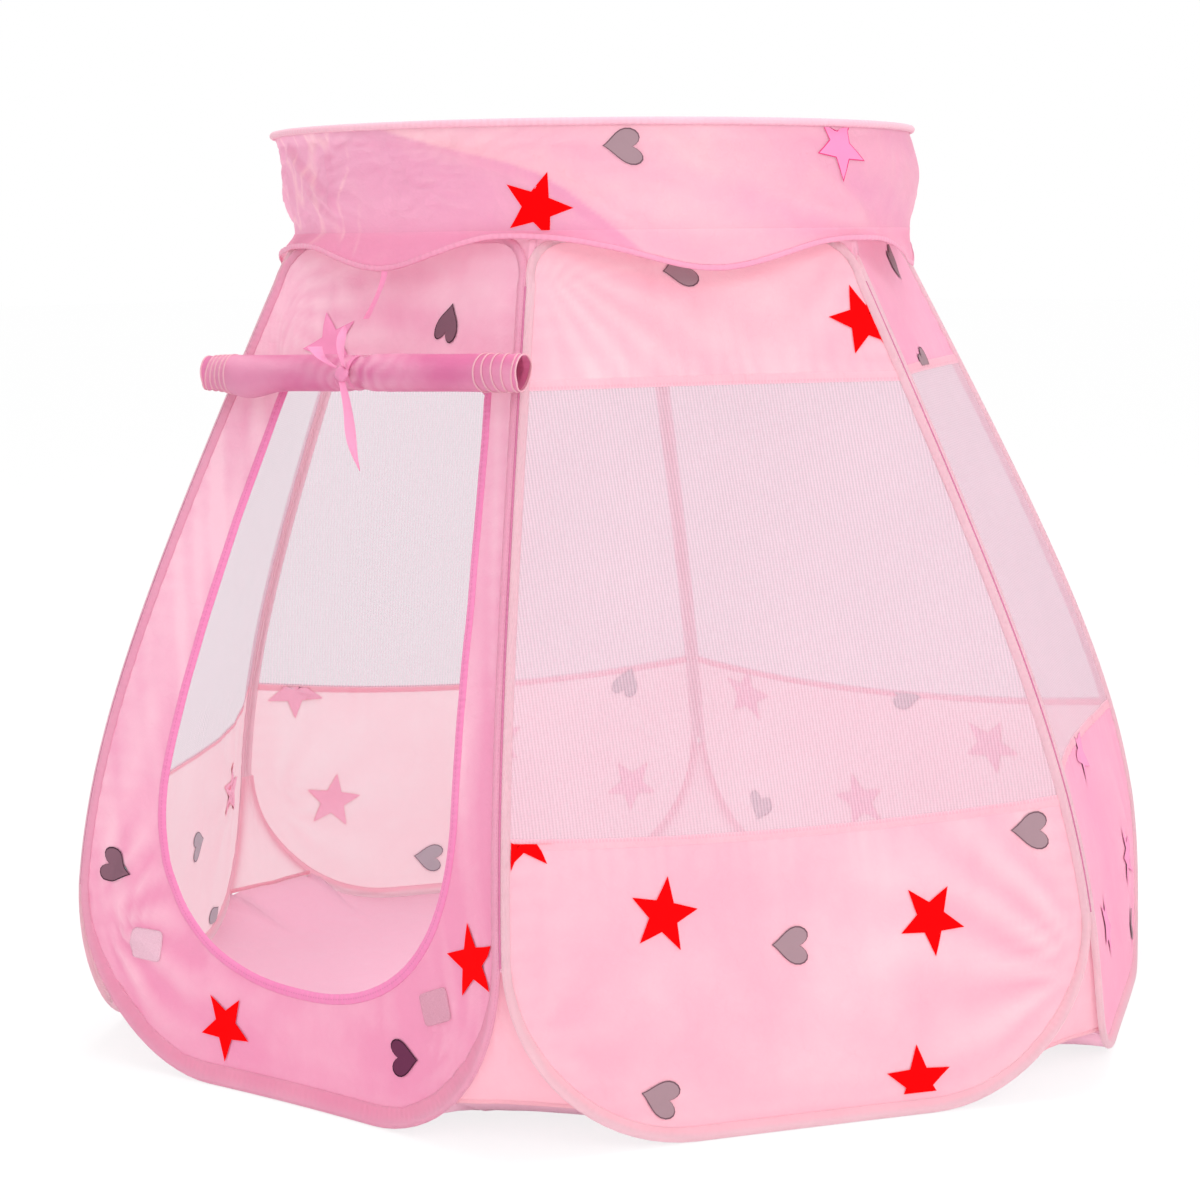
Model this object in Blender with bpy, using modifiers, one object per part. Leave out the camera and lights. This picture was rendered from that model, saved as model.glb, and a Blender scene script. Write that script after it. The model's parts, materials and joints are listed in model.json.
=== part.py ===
"""Pop-up play tent: six spring hoops joined side by side, fabric and net walls between them,
a floor, and a round spring ring that stands on a soft collar over the top opening.

Metres, +Z up. The floor lies at zero height, and the door side faces -Y.
Azimuths are counted from the door side, towards +X. Sides are numbered from 0, the door side.
"""
import math
from functools import lru_cache

import bmesh
import bpy
from mathutils import Matrix, Vector

# The six sides
SIDES = 6
SIDE_TURN = 2 * math.pi / SIDES
HALF_SIDE_TURN = SIDE_TURN / 2
DOOR_SIDE = 0
WINDOW_SIDE = 5

# The curve of a seam between two sides, seen from the side of the tent
SEAM_FOOT_RADIUS = 0.5987
SEAM_TOP_RADIUS = 0.3235
SEAM_TOP_HEIGHT = 0.818
SEAM_FOOT_SLOPE = math.radians(-1.4)
SEAM_FOOT_REACH = 0.251
SEAM_TOP_SLOPE = math.radians(27.5)
SEAM_TOP_REACH = 0.5225
LEAN_ASIDE = -0.0313
LEAN_FORWARD = -0.0220
# Small turn and reach of each corner, as the soft tent stands, from the corner after the door
CORNER_TURN_SHARES = (-0.015, -0.028, -0.017, 0.013, 0.013, 0.051)
CORNER_REACH_SHARES = (-0.003, -0.016, 0.028, -0.001, 0.005, -0.003)
WALL_BOW = 0.024
BOW_POWER = 0.7

# Fabric, wire and the sleeve that holds the wire
FABRIC = 0.0008
GAP = 0.0003
SEWN_GAP = 0.0006
WIRE_RADIUS = 0.0012
SLEEVE_RADIUS = 0.0036
SLEEVE_WALL = 0.0012
SLIT_HALF = FABRIC / 2 + GAP
SLEEVE_ARC_STEPS = 5
SLEEVE_BORE_STEPS = 4
RING_WIRE_POINTS = 6

# The outline of one hoop
HOOP_CORNER = 0.17
HOOP_TOP_CORNER = 0.045
HOOP_BELOW_SEAM = 0.012
HOOP_TOP = SEAM_TOP_HEIGHT - HOOP_BELOW_SEAM
NET_LOW = 0.281
BAND_HEIGHT = 0.138
NET_HIGH = HOOP_TOP - BAND_HEIGHT
CORNER_STEPS = 5
TOP_CORNER_STEPS = 2
LOW_SIDE_STEPS = 2
NET_STEPS = 4
HIGH_SIDE_STEPS = 2
ACROSS_STEPS = 6
NET_SAG = 0.015
NET_SAG_POWER = 2
WINDOW_DIP = 0.040
WINDOW_DIP_POWER = 6
WINDOW_DIP_LOWEST = 0.20
WINDOW_DIP_HIGHEST = 0.43

# The door opening, its binding and the patches beside it
DOOR_OFFSET = 0.010
DOOR_LOW = 0.109
DOOR_BELLY = 0.280
DOOR_BELOW_HOOP = 0.142
DOOR_HIGH = HOOP_TOP - DOOR_BELOW_HOOP
DOOR_BELLY_SHARE = 0.339
DOOR_BELLY_HALF = DOOR_BELLY_SHARE * SEAM_FOOT_RADIUS
DOOR_HIGH_HALF = 0.141
DOOR_SIDE_POWER = 1.3
DOOR_ROUND_POWER = 2.35
DOOR_BANDS = 3
BINDING_WIDTH = 0.009
BINDING_THICKNESS = 0.0022
PATCH_WIDTH = 0.040
PATCH_HEIGHT = 0.030
PATCH_THICKNESS = 0.0015
PATCH_CLEARANCE = 0.005
PATCH_ACROSS = DOOR_BELLY_HALF + PATCH_CLEARANCE
PATCH_HEIGHT_AT = 0.124

# Corner gussets and floor
GUSSET_HIGH = 0.128
GUSSET_LOW = 0.040
GUSSET_STEPS = 5
GUSSET_SET_BACK = 0.0065
FLOOR_INNER_SHARE = 0.88

# Ring and collar
COLLAR_ABOVE_HOOPS = 0.006
COLLAR_HEIGHT = 0.104
COLLAR_FOOT = HOOP_TOP + COLLAR_ABOVE_HOOPS
TENT_HEIGHT = COLLAR_FOOT + COLLAR_HEIGHT
RING_OVERHANG = 0.0104
RING_OUTER_RADIUS = SEAM_TOP_RADIUS + RING_OVERHANG
ROUND_STATIONS = 60
COLLAR_FOOT_RADIUS = SEAM_TOP_RADIUS
COLLAR_BULGE = 0.0074
COLLAR_BELLY_RADIUS = COLLAR_FOOT_RADIUS + COLLAR_BULGE
COLLAR_FOOT_LOBE = 0.0045
COLLAR_STEPS = 5
CREASE_DEPTH = 0.0012
CREASE_SPAN = 0.025
HEM_BELOW_FOOT = 0.009
HEM_HIGH = COLLAR_FOOT - HEM_BELOW_FOOT
HEM_LOBE = 0.027
HEM_FLARE = 0.0067
HEM_RADIUS = COLLAR_FOOT_RADIUS + HEM_FLARE
HEM_RADIUS_LOBE = 0.0042
HEM_STEPS = 2
LOBE_POWER = 1.4

# Rolled door flap and its ribbons
ROLL_RADIUS = 0.0178
ROLL_HALF = 0.205
ROLL_ACROSS = 0.006
ROLL_ABOVE_DOOR = 0.016
ROLL_HEIGHT = DOOR_HIGH + ROLL_ABOVE_DOOR
ROLL_TILT = math.radians(1.1)
ROLL_SLACK = 0.20
ROLL_CLEARANCE = 0.0015
ROLL_BODY_HALF = 0.150
ROLL_RIDGES = 6
ROLL_RIDGE_STEP = 0.0014
ROLL_BORE_RADIUS = 0.0090
ROLL_POINTS = 12
ROOT_ABOVE_ROLL = 0.014
FLAP_ROOT_HEIGHT = ROLL_HEIGHT + ROOT_ABOVE_ROLL
FLAP_ROOT_HALF = 0.125
ROOT_TURN = math.radians(28.0)
TIE_ACROSS = 0.004
TIE_WIDTH = 0.008
KNOT_WIDTH = 0.014
KNOT_HEIGHT = 0.012
KNOT_DEPTH = 0.007
KNOT_POINTS = 8
KNOT_BANDS = 5
RIBBON_STEPS = 4
TAIL_LENGTH = 0.085
TAIL_SLANT = 0.022
LEFT_END_ASIDE = -0.030
LEFT_END_RISE = 0.020
RIGHT_END_ASIDE = 0.002
RIGHT_END_RISE = 0.040
END_REACH = 0.012
SPARE_ACROSS = 0.008
SPARE_SLANT = -0.026
SPARE_LENGTH = 0.045
RIBBON = 0.0007
MERGE = 0.00001

FABRIC_ROUGHNESS = 0.8
STEEL_ROUGHNESS = 0.3
# Amount, waves round the collar, waves over its height and start of each crease
CREASE_WAVES = ((1.0, 13, 1.0, 0.0), (0.7, 21, -1.7, 1.1), (0.5, 34, 2.3, 0.0))

BORE_RADIUS = SLEEVE_RADIUS - SLEEVE_WALL
SHEET_INSET = SLEEVE_RADIUS + SEWN_GAP


def clear_file():
    """Remove what the file already holds."""
    for thing in list(bpy.data.objects):
        bpy.data.objects.remove(thing, do_unlink=True)


def outward(azimuth):
    """Level direction that points away from the tent's axis."""
    return Vector((math.sin(azimuth), -math.cos(azimuth), 0))


def sideways(azimuth):
    """Level direction along a wall, towards larger azimuths."""
    return Vector((math.cos(azimuth), math.sin(azimuth), 0))


def mix(low, high, share):
    """Value that lies a share of the way between two others."""
    return low + (high - low) * share


def steps(low, high, count):
    """Evenly spaced values, both ends included."""
    return [mix(low, high, step / count) for step in range(count + 1)]


def seam_curve(share):
    """Radius and height at a share of the seam curve, from the foot to the top."""
    rest = 1 - share
    weights = (rest ** 3, 3 * rest ** 2 * share, 3 * rest * share ** 2, share ** 3)
    radii = (SEAM_FOOT_RADIUS,
             SEAM_FOOT_RADIUS - SEAM_FOOT_REACH * math.sin(SEAM_FOOT_SLOPE),
             SEAM_TOP_RADIUS + SEAM_TOP_REACH * math.sin(SEAM_TOP_SLOPE),
             SEAM_TOP_RADIUS)
    heights = (0, SEAM_FOOT_REACH * math.cos(SEAM_FOOT_SLOPE),
               SEAM_TOP_HEIGHT - SEAM_TOP_REACH * math.cos(SEAM_TOP_SLOPE), SEAM_TOP_HEIGHT)
    return (sum(w * r for w, r in zip(weights, radii)),
            sum(w * h for w, h in zip(weights, heights)))


@lru_cache(maxsize=None)
def seam_radius(height):
    """Distance of the seam curve from the tent's axis at a height."""
    low, high = 0.0, 1.0
    for _ in range(50):
        middle = (low + high) / 2
        if seam_curve(middle)[1] < height:
            low = middle
        else:
            high = middle
    return seam_curve(low)[0]


def wall_half(height):
    """Half the width of a wall at a height."""
    return seam_radius(height) * math.sin(HALF_SIDE_TURN)


def wall_bow(height):
    """How far the middle of a wall lies inside the line between its seams."""
    share = min(max(height / SEAM_TOP_HEIGHT, 0), 1)
    return WALL_BOW * math.sin(math.pi * share) ** BOW_POWER


def wall_depth(across, height):
    """Distance from the tent's axis to a wall, measured square to the wall."""
    share = across / wall_half(height)
    return seam_radius(height) * math.cos(HALF_SIDE_TURN) - wall_bow(height) * (1 - share ** 2)


def seam_inset(height):
    """How far a hoop lies inside the seam, so that two neighbours' sleeves just clear."""
    narrowing = wall_bow(height) / wall_half(height)
    return (SLEEVE_RADIUS + GAP) / (math.cos(HALF_SIDE_TURN) - narrowing)


def corner_value(shares, azimuth):
    """Value of a corner table at an azimuth, with a smooth change from corner to corner."""
    place = azimuth / SIDE_TURN - 0.5
    before = math.floor(place)
    blend = (1 - math.cos(math.pi * (place - before))) / 2
    return mix(shares[before % SIDES], shares[(before + 1) % SIDES], blend)


def stood(point):
    """Point of the regular tent, moved to where the soft tent stands."""
    azimuth = math.atan2(point.x, -point.y)
    turned = azimuth + SIDE_TURN * corner_value(CORNER_TURN_SHARES, azimuth)
    radius = point.xy.length * (1 + corner_value(CORNER_REACH_SHARES, azimuth))
    return leaned(outward(turned) * radius + Vector((0, 0, point.z)))


def leaned(point):
    """The point moved aside with the lean of the whole tent."""
    return point + Vector((LEAN_ASIDE, LEAN_FORWARD, 0)) * point.z


def wall_point(side, across, height, proud=0):
    """Point on a wall, or that far outside it."""
    azimuth = side * SIDE_TURN
    depth = wall_depth(across, height) + proud
    return stood(outward(azimuth) * depth + sideways(azimuth) * across + Vector((0, 0, height)))


def low_corner_rows(inset):
    """Half widths and heights up the rounded lower corner, from the foot line."""
    centre = SLEEVE_RADIUS + HOOP_CORNER
    edge = wall_half(centre) - seam_inset(centre)
    radius = HOOP_CORNER - inset
    turns = steps(0, math.pi / 2, CORNER_STEPS)
    return [(edge - HOOP_CORNER + radius * math.sin(turn), centre - radius * math.cos(turn))
            for turn in turns]


def high_corner_rows(inset):
    """Half widths and heights round the upper corner, up to the top line."""
    centre = HOOP_TOP - HOOP_TOP_CORNER
    edge = wall_half(centre) - seam_inset(centre)
    radius = HOOP_TOP_CORNER - inset
    turns = steps(0, math.pi / 2, TOP_CORNER_STEPS)
    return [(edge - HOOP_TOP_CORNER + radius * math.cos(turn), centre + radius * math.sin(turn))
            for turn in turns]


def side_rows(heights, inset):
    """Half widths and heights along the seam."""
    return [(wall_half(height) - seam_inset(height) - inset, height) for height in heights]


def base_heights():
    """Row heights from the lower corner to the net."""
    return steps(SLEEVE_RADIUS + HOOP_CORNER, NET_LOW, LOW_SIDE_STEPS)


def net_heights():
    """Row heights of the net."""
    return steps(NET_LOW, NET_HIGH, NET_STEPS)


def band_heights():
    """Row heights from the net to the upper corner."""
    return steps(NET_HIGH, HOOP_TOP - HOOP_TOP_CORNER, HIGH_SIDE_STEPS)


def all_rows(inset):
    """Half widths and heights of a hoop from its foot line to its top line."""
    rows = low_corner_rows(inset)
    rows += side_rows(base_heights()[1:], inset)
    rows += side_rows(net_heights()[1:], inset)
    rows += side_rows(band_heights()[1:-1], inset)
    rows += high_corner_rows(inset)
    return rows


def loop_places(inset):
    """Places round a hoop as across and height, closed, from the middle of the foot line."""
    rows = all_rows(inset)
    shares = steps(-1, 1, ACROSS_STEPS)
    half = ACROSS_STEPS // 2
    foot_half, foot = rows[0]
    top_half, top = rows[-1]
    places = [(foot_half * share, foot) for share in shares[half:-1]]
    places += rows[:-1]
    places += [(top_half * share, top) for share in reversed(shares)]
    places += [(-width, height) for width, height in reversed(rows[:-1])]
    places += [(foot_half * share, foot) for share in shares[1:half]]
    return places


def add_material(thing, colour, roughness=FABRIC_ROUGHNESS, metallic=0.0):
    """Give the object one Principled material of its own."""
    material = bpy.data.materials.new(thing.name)
    material.use_nodes = True
    shader = material.node_tree.nodes["Principled BSDF"]
    shader.inputs["Base Color"].default_value = colour
    shader.inputs["Roughness"].default_value = roughness
    shader.inputs["Metallic"].default_value = metallic
    thing.data.materials.append(material)


def add_object(name, vertices, faces, colour):
    """Link a mesh object into the tent's collection, with its faces turned outward."""
    mesh = bpy.data.meshes.new(name)
    mesh.from_pydata([tuple(vertex) for vertex in vertices], [], faces)
    work = bmesh.new()
    work.from_mesh(mesh)
    bmesh.ops.recalc_face_normals(work, faces=work.faces)
    work.to_mesh(mesh)
    work.free()
    thing = bpy.data.objects.new(name, mesh)
    TENT.objects.link(thing)
    add_material(thing, colour)
    return thing


def thicken(thing, thickness):
    """Turn an open sheet into a closed body, half of it on each side of the sheet."""
    solid = thing.modifiers.new("thickness", 'SOLIDIFY')
    solid.thickness = thickness
    solid.offset = 0
    solid.use_even_offset = True
    return thing


def grid_faces(rows, columns, closed=False):
    """Faces of a grid of points, closed across its columns when asked."""
    faces = []
    for row in range(rows - 1):
        for column in range(columns if closed else columns - 1):
            following = (column + 1) % columns
            faces.append((row * columns + column, row * columns + following,
                          (row + 1) * columns + following, (row + 1) * columns + column))
    return faces


def add_sheet(name, rows, colour, closed=False, thickness=FABRIC):
    """Closed fabric body from rows of points."""
    points = [point for row in rows for point in row]
    faces = grid_faces(len(rows), len(rows[0]), closed)
    return thicken(add_object(name, points, faces, colour), thickness)


def add_loop(name, centres, inwards, section, colour):
    """Closed body whose section runs round a closed path, turned to face inwards."""
    count = len(centres)
    points = []
    for index, centre in enumerate(centres):
        run = (centres[(index + 1) % count] - centres[index - 1]).normalized()
        inward = inwards[index] - run * inwards[index].dot(run)
        inward.normalize()
        square = run.cross(inward)
        points += [centre + inward * toward + square * aside for toward, aside in section]
    size = len(section)
    faces = []
    for index in range(count):
        following = (index + 1) % count
        for corner in range(size):
            turned = (corner + 1) % size
            faces.append((index * size + corner, index * size + turned,
                          following * size + turned, following * size + corner))
    return add_object(name, points, faces, colour)


def add_turned(name, profile, axis, count, place, colour):
    """Profile in the XZ plane, turned once round an axis of its own."""
    mesh = bpy.data.meshes.new(name)
    edges = [(index, (index + 1) % len(profile)) for index in range(len(profile))]
    mesh.from_pydata([(across, 0, height) for across, height in profile], edges, [])
    thing = bpy.data.objects.new(name, mesh)
    TENT.objects.link(thing)
    add_material(thing, colour)
    screw = thing.modifiers.new("turn", 'SCREW')
    screw.axis = axis
    screw.steps = count
    screw.render_steps = count
    screw.use_merge_vertices = True
    screw.merge_threshold = MERGE
    screw.use_normal_calculate = True
    thing.matrix_world = place
    return thing


def sleeve_section():
    """Round sleeve with a bore for the wire, slit on the side that faces inwards."""
    outer_turn = math.asin(SLIT_HALF / SLEEVE_RADIUS)
    inner_turn = math.asin(SLIT_HALF / BORE_RADIUS)
    outer = steps(outer_turn, 2 * math.pi - outer_turn, SLEEVE_ARC_STEPS)
    inner = steps(2 * math.pi - inner_turn, inner_turn, SLEEVE_BORE_STEPS)
    section = [(SLEEVE_RADIUS * math.cos(turn), SLEEVE_RADIUS * math.sin(turn)) for turn in outer]
    section += [(BORE_RADIUS * math.cos(turn), BORE_RADIUS * math.sin(turn)) for turn in inner]
    return section


def add_wire(name, centres):
    """Spring wire bent into a closed loop."""
    curve = bpy.data.curves.new(name, 'CURVE')
    curve.dimensions = '3D'
    curve.bevel_depth = WIRE_RADIUS
    curve.bevel_resolution = 0
    spline = curve.splines.new('POLY')
    spline.points.add(len(centres) - 1)
    for point, centre in zip(spline.points, centres):
        point.co = centre.to_4d()
    spline.use_cyclic_u = True
    wire = bpy.data.objects.new(name, curve)
    TENT.objects.link(wire)
    add_material(wire, STEEL, STEEL_ROUGHNESS, 1.0)
    return wire


def add_hoop(side):
    """Spring wire hoop of one side and the fabric sleeve round it."""
    centres = [wall_point(side, *place) for place in loop_places(0)]
    inner = [wall_point(side, *place) for place in loop_places(SHEET_INSET)]
    inwards = [place - centre for place, centre in zip(inner, centres)]
    add_wire("hoop_%d_wire" % side, centres)
    add_loop("hoop_%d_sleeve" % side, centres, inwards, sleeve_section(), BINDING_PINK)


def dip_share(height):
    """How much of the dip of the net's lower edge a row takes."""
    if height <= NET_LOW:
        share = (height - WINDOW_DIP_LOWEST) / (NET_LOW - WINDOW_DIP_LOWEST)
    else:
        share = (WINDOW_DIP_HIGHEST - height) / (WINDOW_DIP_HIGHEST - NET_LOW)
    return min(max(share, 0), 1)


def wall_row(side, half, height):
    """One row of points across a wall, lower in the middle near the net's lower edge."""
    dip, power = (WINDOW_DIP, WINDOW_DIP_POWER) if side == WINDOW_SIDE else (NET_SAG, NET_SAG_POWER)
    row = []
    for share in steps(-1, 1, ACROSS_STEPS):
        level = height - dip * dip_share(height) * (1 - abs(share) ** power)
        row.append(wall_point(side, half * share, level))
    return row


def add_wall(side):
    """Lower fabric, net and upper fabric of a side that has no door."""
    base = low_corner_rows(SHEET_INSET)[:-1]
    base += side_rows(base_heights()[:-1] + [NET_LOW - GAP], SHEET_INSET)
    heights = net_heights()
    net = side_rows([NET_LOW + GAP] + heights[1:-1] + [NET_HIGH - GAP], SHEET_INSET)
    band = side_rows([NET_HIGH + GAP] + band_heights()[1:-1], SHEET_INSET)
    band += high_corner_rows(SHEET_INSET)
    pieces = (("base", base, FABRIC_PINK), ("net", net, NET_WHITE), ("band", band, FABRIC_PINK))
    for word, rows, colour in pieces:
        add_sheet("wall_%d_%s" % (side, word), [wall_row(side, *row) for row in rows], colour)


def door_side_half(height):
    """Half the width of the door opening above its widest level."""
    share = (height - DOOR_BELLY) / (DOOR_HIGH - DOOR_BELLY)
    return mix(DOOR_BELLY_HALF, DOOR_HIGH_HALF, share ** DOOR_SIDE_POWER)


def door_round(turn, grown):
    """Half width and height on the rounded lower end of the opening."""
    power = 2 / DOOR_ROUND_POWER
    half = (DOOR_BELLY_HALF + grown) * math.sin(turn) ** power
    drop = (DOOR_BELLY - DOOR_LOW + grown) * max(math.cos(turn), 0) ** power
    return half, DOOR_BELLY - drop


def door_rows(grown):
    """Half widths and heights of the opening, in step with the rows of a hoop."""
    foot_steps = ACROSS_STEPS // 2 + CORNER_STEPS
    turns = steps(0, math.pi / 2, foot_steps)
    rows = [door_round(turn, grown) for turn in turns[ACROSS_STEPS // 2:]]
    side_count = LOW_SIDE_STEPS + NET_STEPS + HIGH_SIDE_STEPS
    for height in steps(DOOR_BELLY, DOOR_HIGH, side_count)[1:]:
        rows.append((door_side_half(height) + grown, height))
    return rows


def door_places(grown):
    """Places round the opening, in step with the places round a hoop."""
    rows = door_rows(grown)
    half = ACROSS_STEPS // 2
    low = [door_round(turn, grown) for turn in steps(0, math.pi / 2, half + CORNER_STEPS)[:half]]
    top_shares = steps(-1, 1, ACROSS_STEPS + 2 * TOP_CORNER_STEPS)
    top = [((DOOR_HIGH_HALF + grown) * share, DOOR_HIGH + grown) for share in reversed(top_shares)]
    right = low + rows[:-1]
    places = right + top + [(-width, height) for width, height in reversed(right[1:])]
    return [(width + DOOR_OFFSET, height) for width, height in places]


def add_door_side():
    """Door wall with its opening, and the binding round the opening."""
    outer = loop_places(SHEET_INSET)
    edge = door_places(BINDING_WIDTH + GAP)
    rings = []
    for share in steps(0, 1, DOOR_BANDS):
        rings.append([wall_point(DOOR_SIDE, mix(a[0], b[0], share), mix(a[1], b[1], share))
                      for a, b in zip(outer, edge)])
    add_sheet("door_wall", rings, DOOR_PINK, closed=True)
    path = [wall_point(DOOR_SIDE, *place) for place in door_places(BINDING_WIDTH / 2)]
    inner = [wall_point(DOOR_SIDE, *place) for place in door_places(0)]
    inwards = [place - centre for place, centre in zip(inner, path)]
    wide, thick = BINDING_WIDTH / 2, BINDING_THICKNESS / 2
    section = [(wide, 0), (wide / 2, thick), (-wide / 2, thick),
               (-wide, 0), (-wide / 2, -thick), (wide / 2, -thick)]
    add_loop("door_binding", path, inwards, section, BINDING_PINK)


def add_patch(name, across):
    """Hook-and-loop patch that holds the closed flap, sewn beside the opening."""
    lift = FABRIC / 2 + GAP + PATCH_THICKNESS / 2
    halves = (-PATCH_WIDTH / 2, PATCH_WIDTH / 2)
    rise = (-PATCH_HEIGHT / 2, PATCH_HEIGHT / 2)
    rows = [[wall_point(DOOR_SIDE, across + aside, PATCH_HEIGHT_AT + up, lift) for aside in halves]
            for up in rise]
    add_sheet(name, rows, PATCH_WHITE, thickness=PATCH_THICKNESS)


def low_corner_half(height, inset):
    """Half width of a hoop at a height below the top of its lower corner."""
    centre = SLEEVE_RADIUS + HOOP_CORNER
    edge = wall_half(centre) - seam_inset(centre)
    radius = HOOP_CORNER - inset
    drop = centre - height
    return edge - HOOP_CORNER + math.sqrt(radius ** 2 - drop ** 2)


def gusset_row(corner, height):
    """One row across a gusset, behind the two hoops that it joins."""
    across = low_corner_half(height, 0)
    depth = wall_depth(across, height)
    turn = HALF_SIDE_TURN
    radial = depth * math.cos(turn) + across * math.sin(turn) - GUSSET_SET_BACK
    half = depth * math.sin(turn) - across * math.cos(turn)
    azimuth = (corner + 0.5) * SIDE_TURN
    rise = Vector((0, 0, height))
    return [stood(outward(azimuth) * radial + sideways(azimuth) * half * share + rise)
            for share in (-1, 0, 1)]


def add_gusset(corner):
    """Fabric triangle between the lower corners of two neighbouring hoops."""
    rows = [gusset_row(corner, height) for height in steps(GUSSET_LOW, GUSSET_HIGH, GUSSET_STEPS)]
    add_sheet("gusset_%d" % corner, rows, FABRIC_PINK)


def floor_edge():
    """Corners of the floor sheet: two along each foot line, two at each gusset."""
    lift = FABRIC / 2
    corners = []
    for side in range(SIDES):
        azimuth = side * SIDE_TURN
        half = low_corner_rows(0)[0][0]
        depth = wall_depth(0, SLEEVE_RADIUS) - SLEEVE_RADIUS - SEWN_GAP
        for across in (-half, half):
            corners.append(stood(outward(azimuth) * depth + sideways(azimuth) * across
                                 + Vector((0, 0, lift))))
        row = gusset_row(side, GUSSET_LOW)
        inner = outward((side + 0.5) * SIDE_TURN) * (FABRIC + SEWN_GAP)
        corners += [row[0] - inner, row[2] - inner]
    return corners


def add_floor():
    """Floor sheet, flat on the ground and lifted at the gussets."""
    edge = floor_edge()
    count = len(edge)
    lift = FABRIC / 2
    inner = [Vector((corner.x * FLOOR_INNER_SHARE, corner.y * FLOOR_INNER_SHARE, lift))
             for corner in edge]
    faces = grid_faces(2, count, closed=True) + [tuple(range(count, 2 * count))]
    thicken(add_object("floor_sheet", edge + inner, faces, FLOOR_PINK), FABRIC)


def ring_centre(height):
    """The tent's axis at a height, moved with the lean."""
    return leaned(Vector((0, 0, height)))


def add_ring():
    """Spring wire ring over the top opening and the sleeve round it."""
    radius = RING_OUTER_RADIUS - SLEEVE_RADIUS
    centre = ring_centre(TENT_HEIGHT - SLEEVE_RADIUS)
    bpy.ops.mesh.primitive_torus_add(location=centre, major_radius=radius, minor_radius=WIRE_RADIUS,
                                     major_segments=ROUND_STATIONS,
                                     minor_segments=RING_WIRE_POINTS)
    wire = bpy.context.object
    wire.name = "ring_wire"
    for owner in list(wire.users_collection):
        owner.objects.unlink(wire)
    TENT.objects.link(wire)
    add_material(wire, STEEL, STEEL_ROUGHNESS, 1.0)
    section = [(radius - toward, aside) for toward, aside in sleeve_section()]
    sleeve = add_turned("ring_sleeve", section, 'Z', ROUND_STATIONS, Matrix.Translation(centre),
                        RING_PINK)
    return [wire, sleeve]


def lobe(turn):
    """One at the middle of each side and zero at the seams, narrow and smooth."""
    return (1 / 2 + math.cos(SIDES * turn) / 2) ** LOBE_POWER


def crease(turn, rise):
    """Small waves of the gathered collar."""
    level = rise / CREASE_SPAN
    return CREASE_DEPTH * sum(amount * math.sin(around * turn + climb * level + start)
                              for amount, around, climb, start in CREASE_WAVES)


def collar_foot_radius(turn):
    """Radius of the gathered lower edge of the collar, larger over the seams."""
    return COLLAR_FOOT_RADIUS - COLLAR_FOOT_LOBE * math.cos(SIDES * turn)


def collar_radius(turn, share):
    """Radius of the collar, a share of the way up from its gathered edge."""
    top = RING_OUTER_RADIUS - 2 * SLEEVE_RADIUS - SEWN_GAP
    straight = mix(collar_foot_radius(turn), top, share)
    arch = math.sin(math.pi * share)
    belly = (COLLAR_BELLY_RADIUS - (COLLAR_FOOT_RADIUS + top) / 2) * arch
    rise = share * (TENT_HEIGHT - COLLAR_FOOT)
    return straight + belly + crease(turn, rise) * math.sqrt(arch)


def add_collar():
    """Soft collar between the hoops and the ring."""
    turns = steps(0, 2 * math.pi, ROUND_STATIONS)[:-1]
    top = TENT_HEIGHT - SLEEVE_RADIUS
    rows = []
    for share in steps(0, 1, COLLAR_STEPS):
        height = mix(COLLAR_FOOT + SEWN_GAP, top, share)
        rows.append([ring_centre(height) + outward(turn) * collar_radius(turn, share)
                     for turn in turns])
    return add_sheet("collar", rows, COLLAR_PINK, closed=True)


def add_hem():
    """Scalloped hem that hangs from the collar's gathered edge over the hoop tops."""
    turns = steps(0, 2 * math.pi, ROUND_STATIONS)[:-1]
    rows = []
    for share in steps(0, 1, HEM_STEPS):
        row = []
        for turn in turns:
            height = mix(COLLAR_FOOT - GAP, HEM_HIGH - HEM_LOBE * lobe(turn), share)
            low_radius = HEM_RADIUS - HEM_RADIUS_LOBE * math.cos(SIDES * turn)
            radius = mix(collar_foot_radius(turn), low_radius, share)
            row.append(ring_centre(height) + outward(turn) * radius)
        rows.append(row)
    add_sheet("collar_hem", rows, COLLAR_PINK, closed=True)


def roll_frame():
    """Middle of the rolled flap, its direction along the wall and the level way out."""
    reach = SLEEVE_RADIUS + ROLL_RADIUS + ROLL_CLEARANCE
    rise = ROLL_SLACK * math.sin(ROLL_TILT)
    slope = math.atan2(seam_radius(ROLL_HEIGHT - ROLL_RADIUS) - seam_radius(ROLL_HEIGHT), ROLL_RADIUS)
    proud = reach / math.cos(slope)
    ends = [wall_point(DOOR_SIDE, way * wall_half(ROLL_HEIGHT), ROLL_HEIGHT + way * rise, proud)
            for way in (-1, 1)]
    along = (ends[1] - ends[0]).normalized()
    out = Vector((along.y, -along.x, 0)).normalized()
    return (ends[0] + ends[1]) / 2, along, out


def roll_point(across, radius, turn):
    """Point round the roll: the turn runs from the top over the back."""
    middle, along, out = roll_frame()
    up = along.cross(-out)
    return middle + along * across + (up * math.cos(turn) - out * math.sin(turn)) * radius


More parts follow.
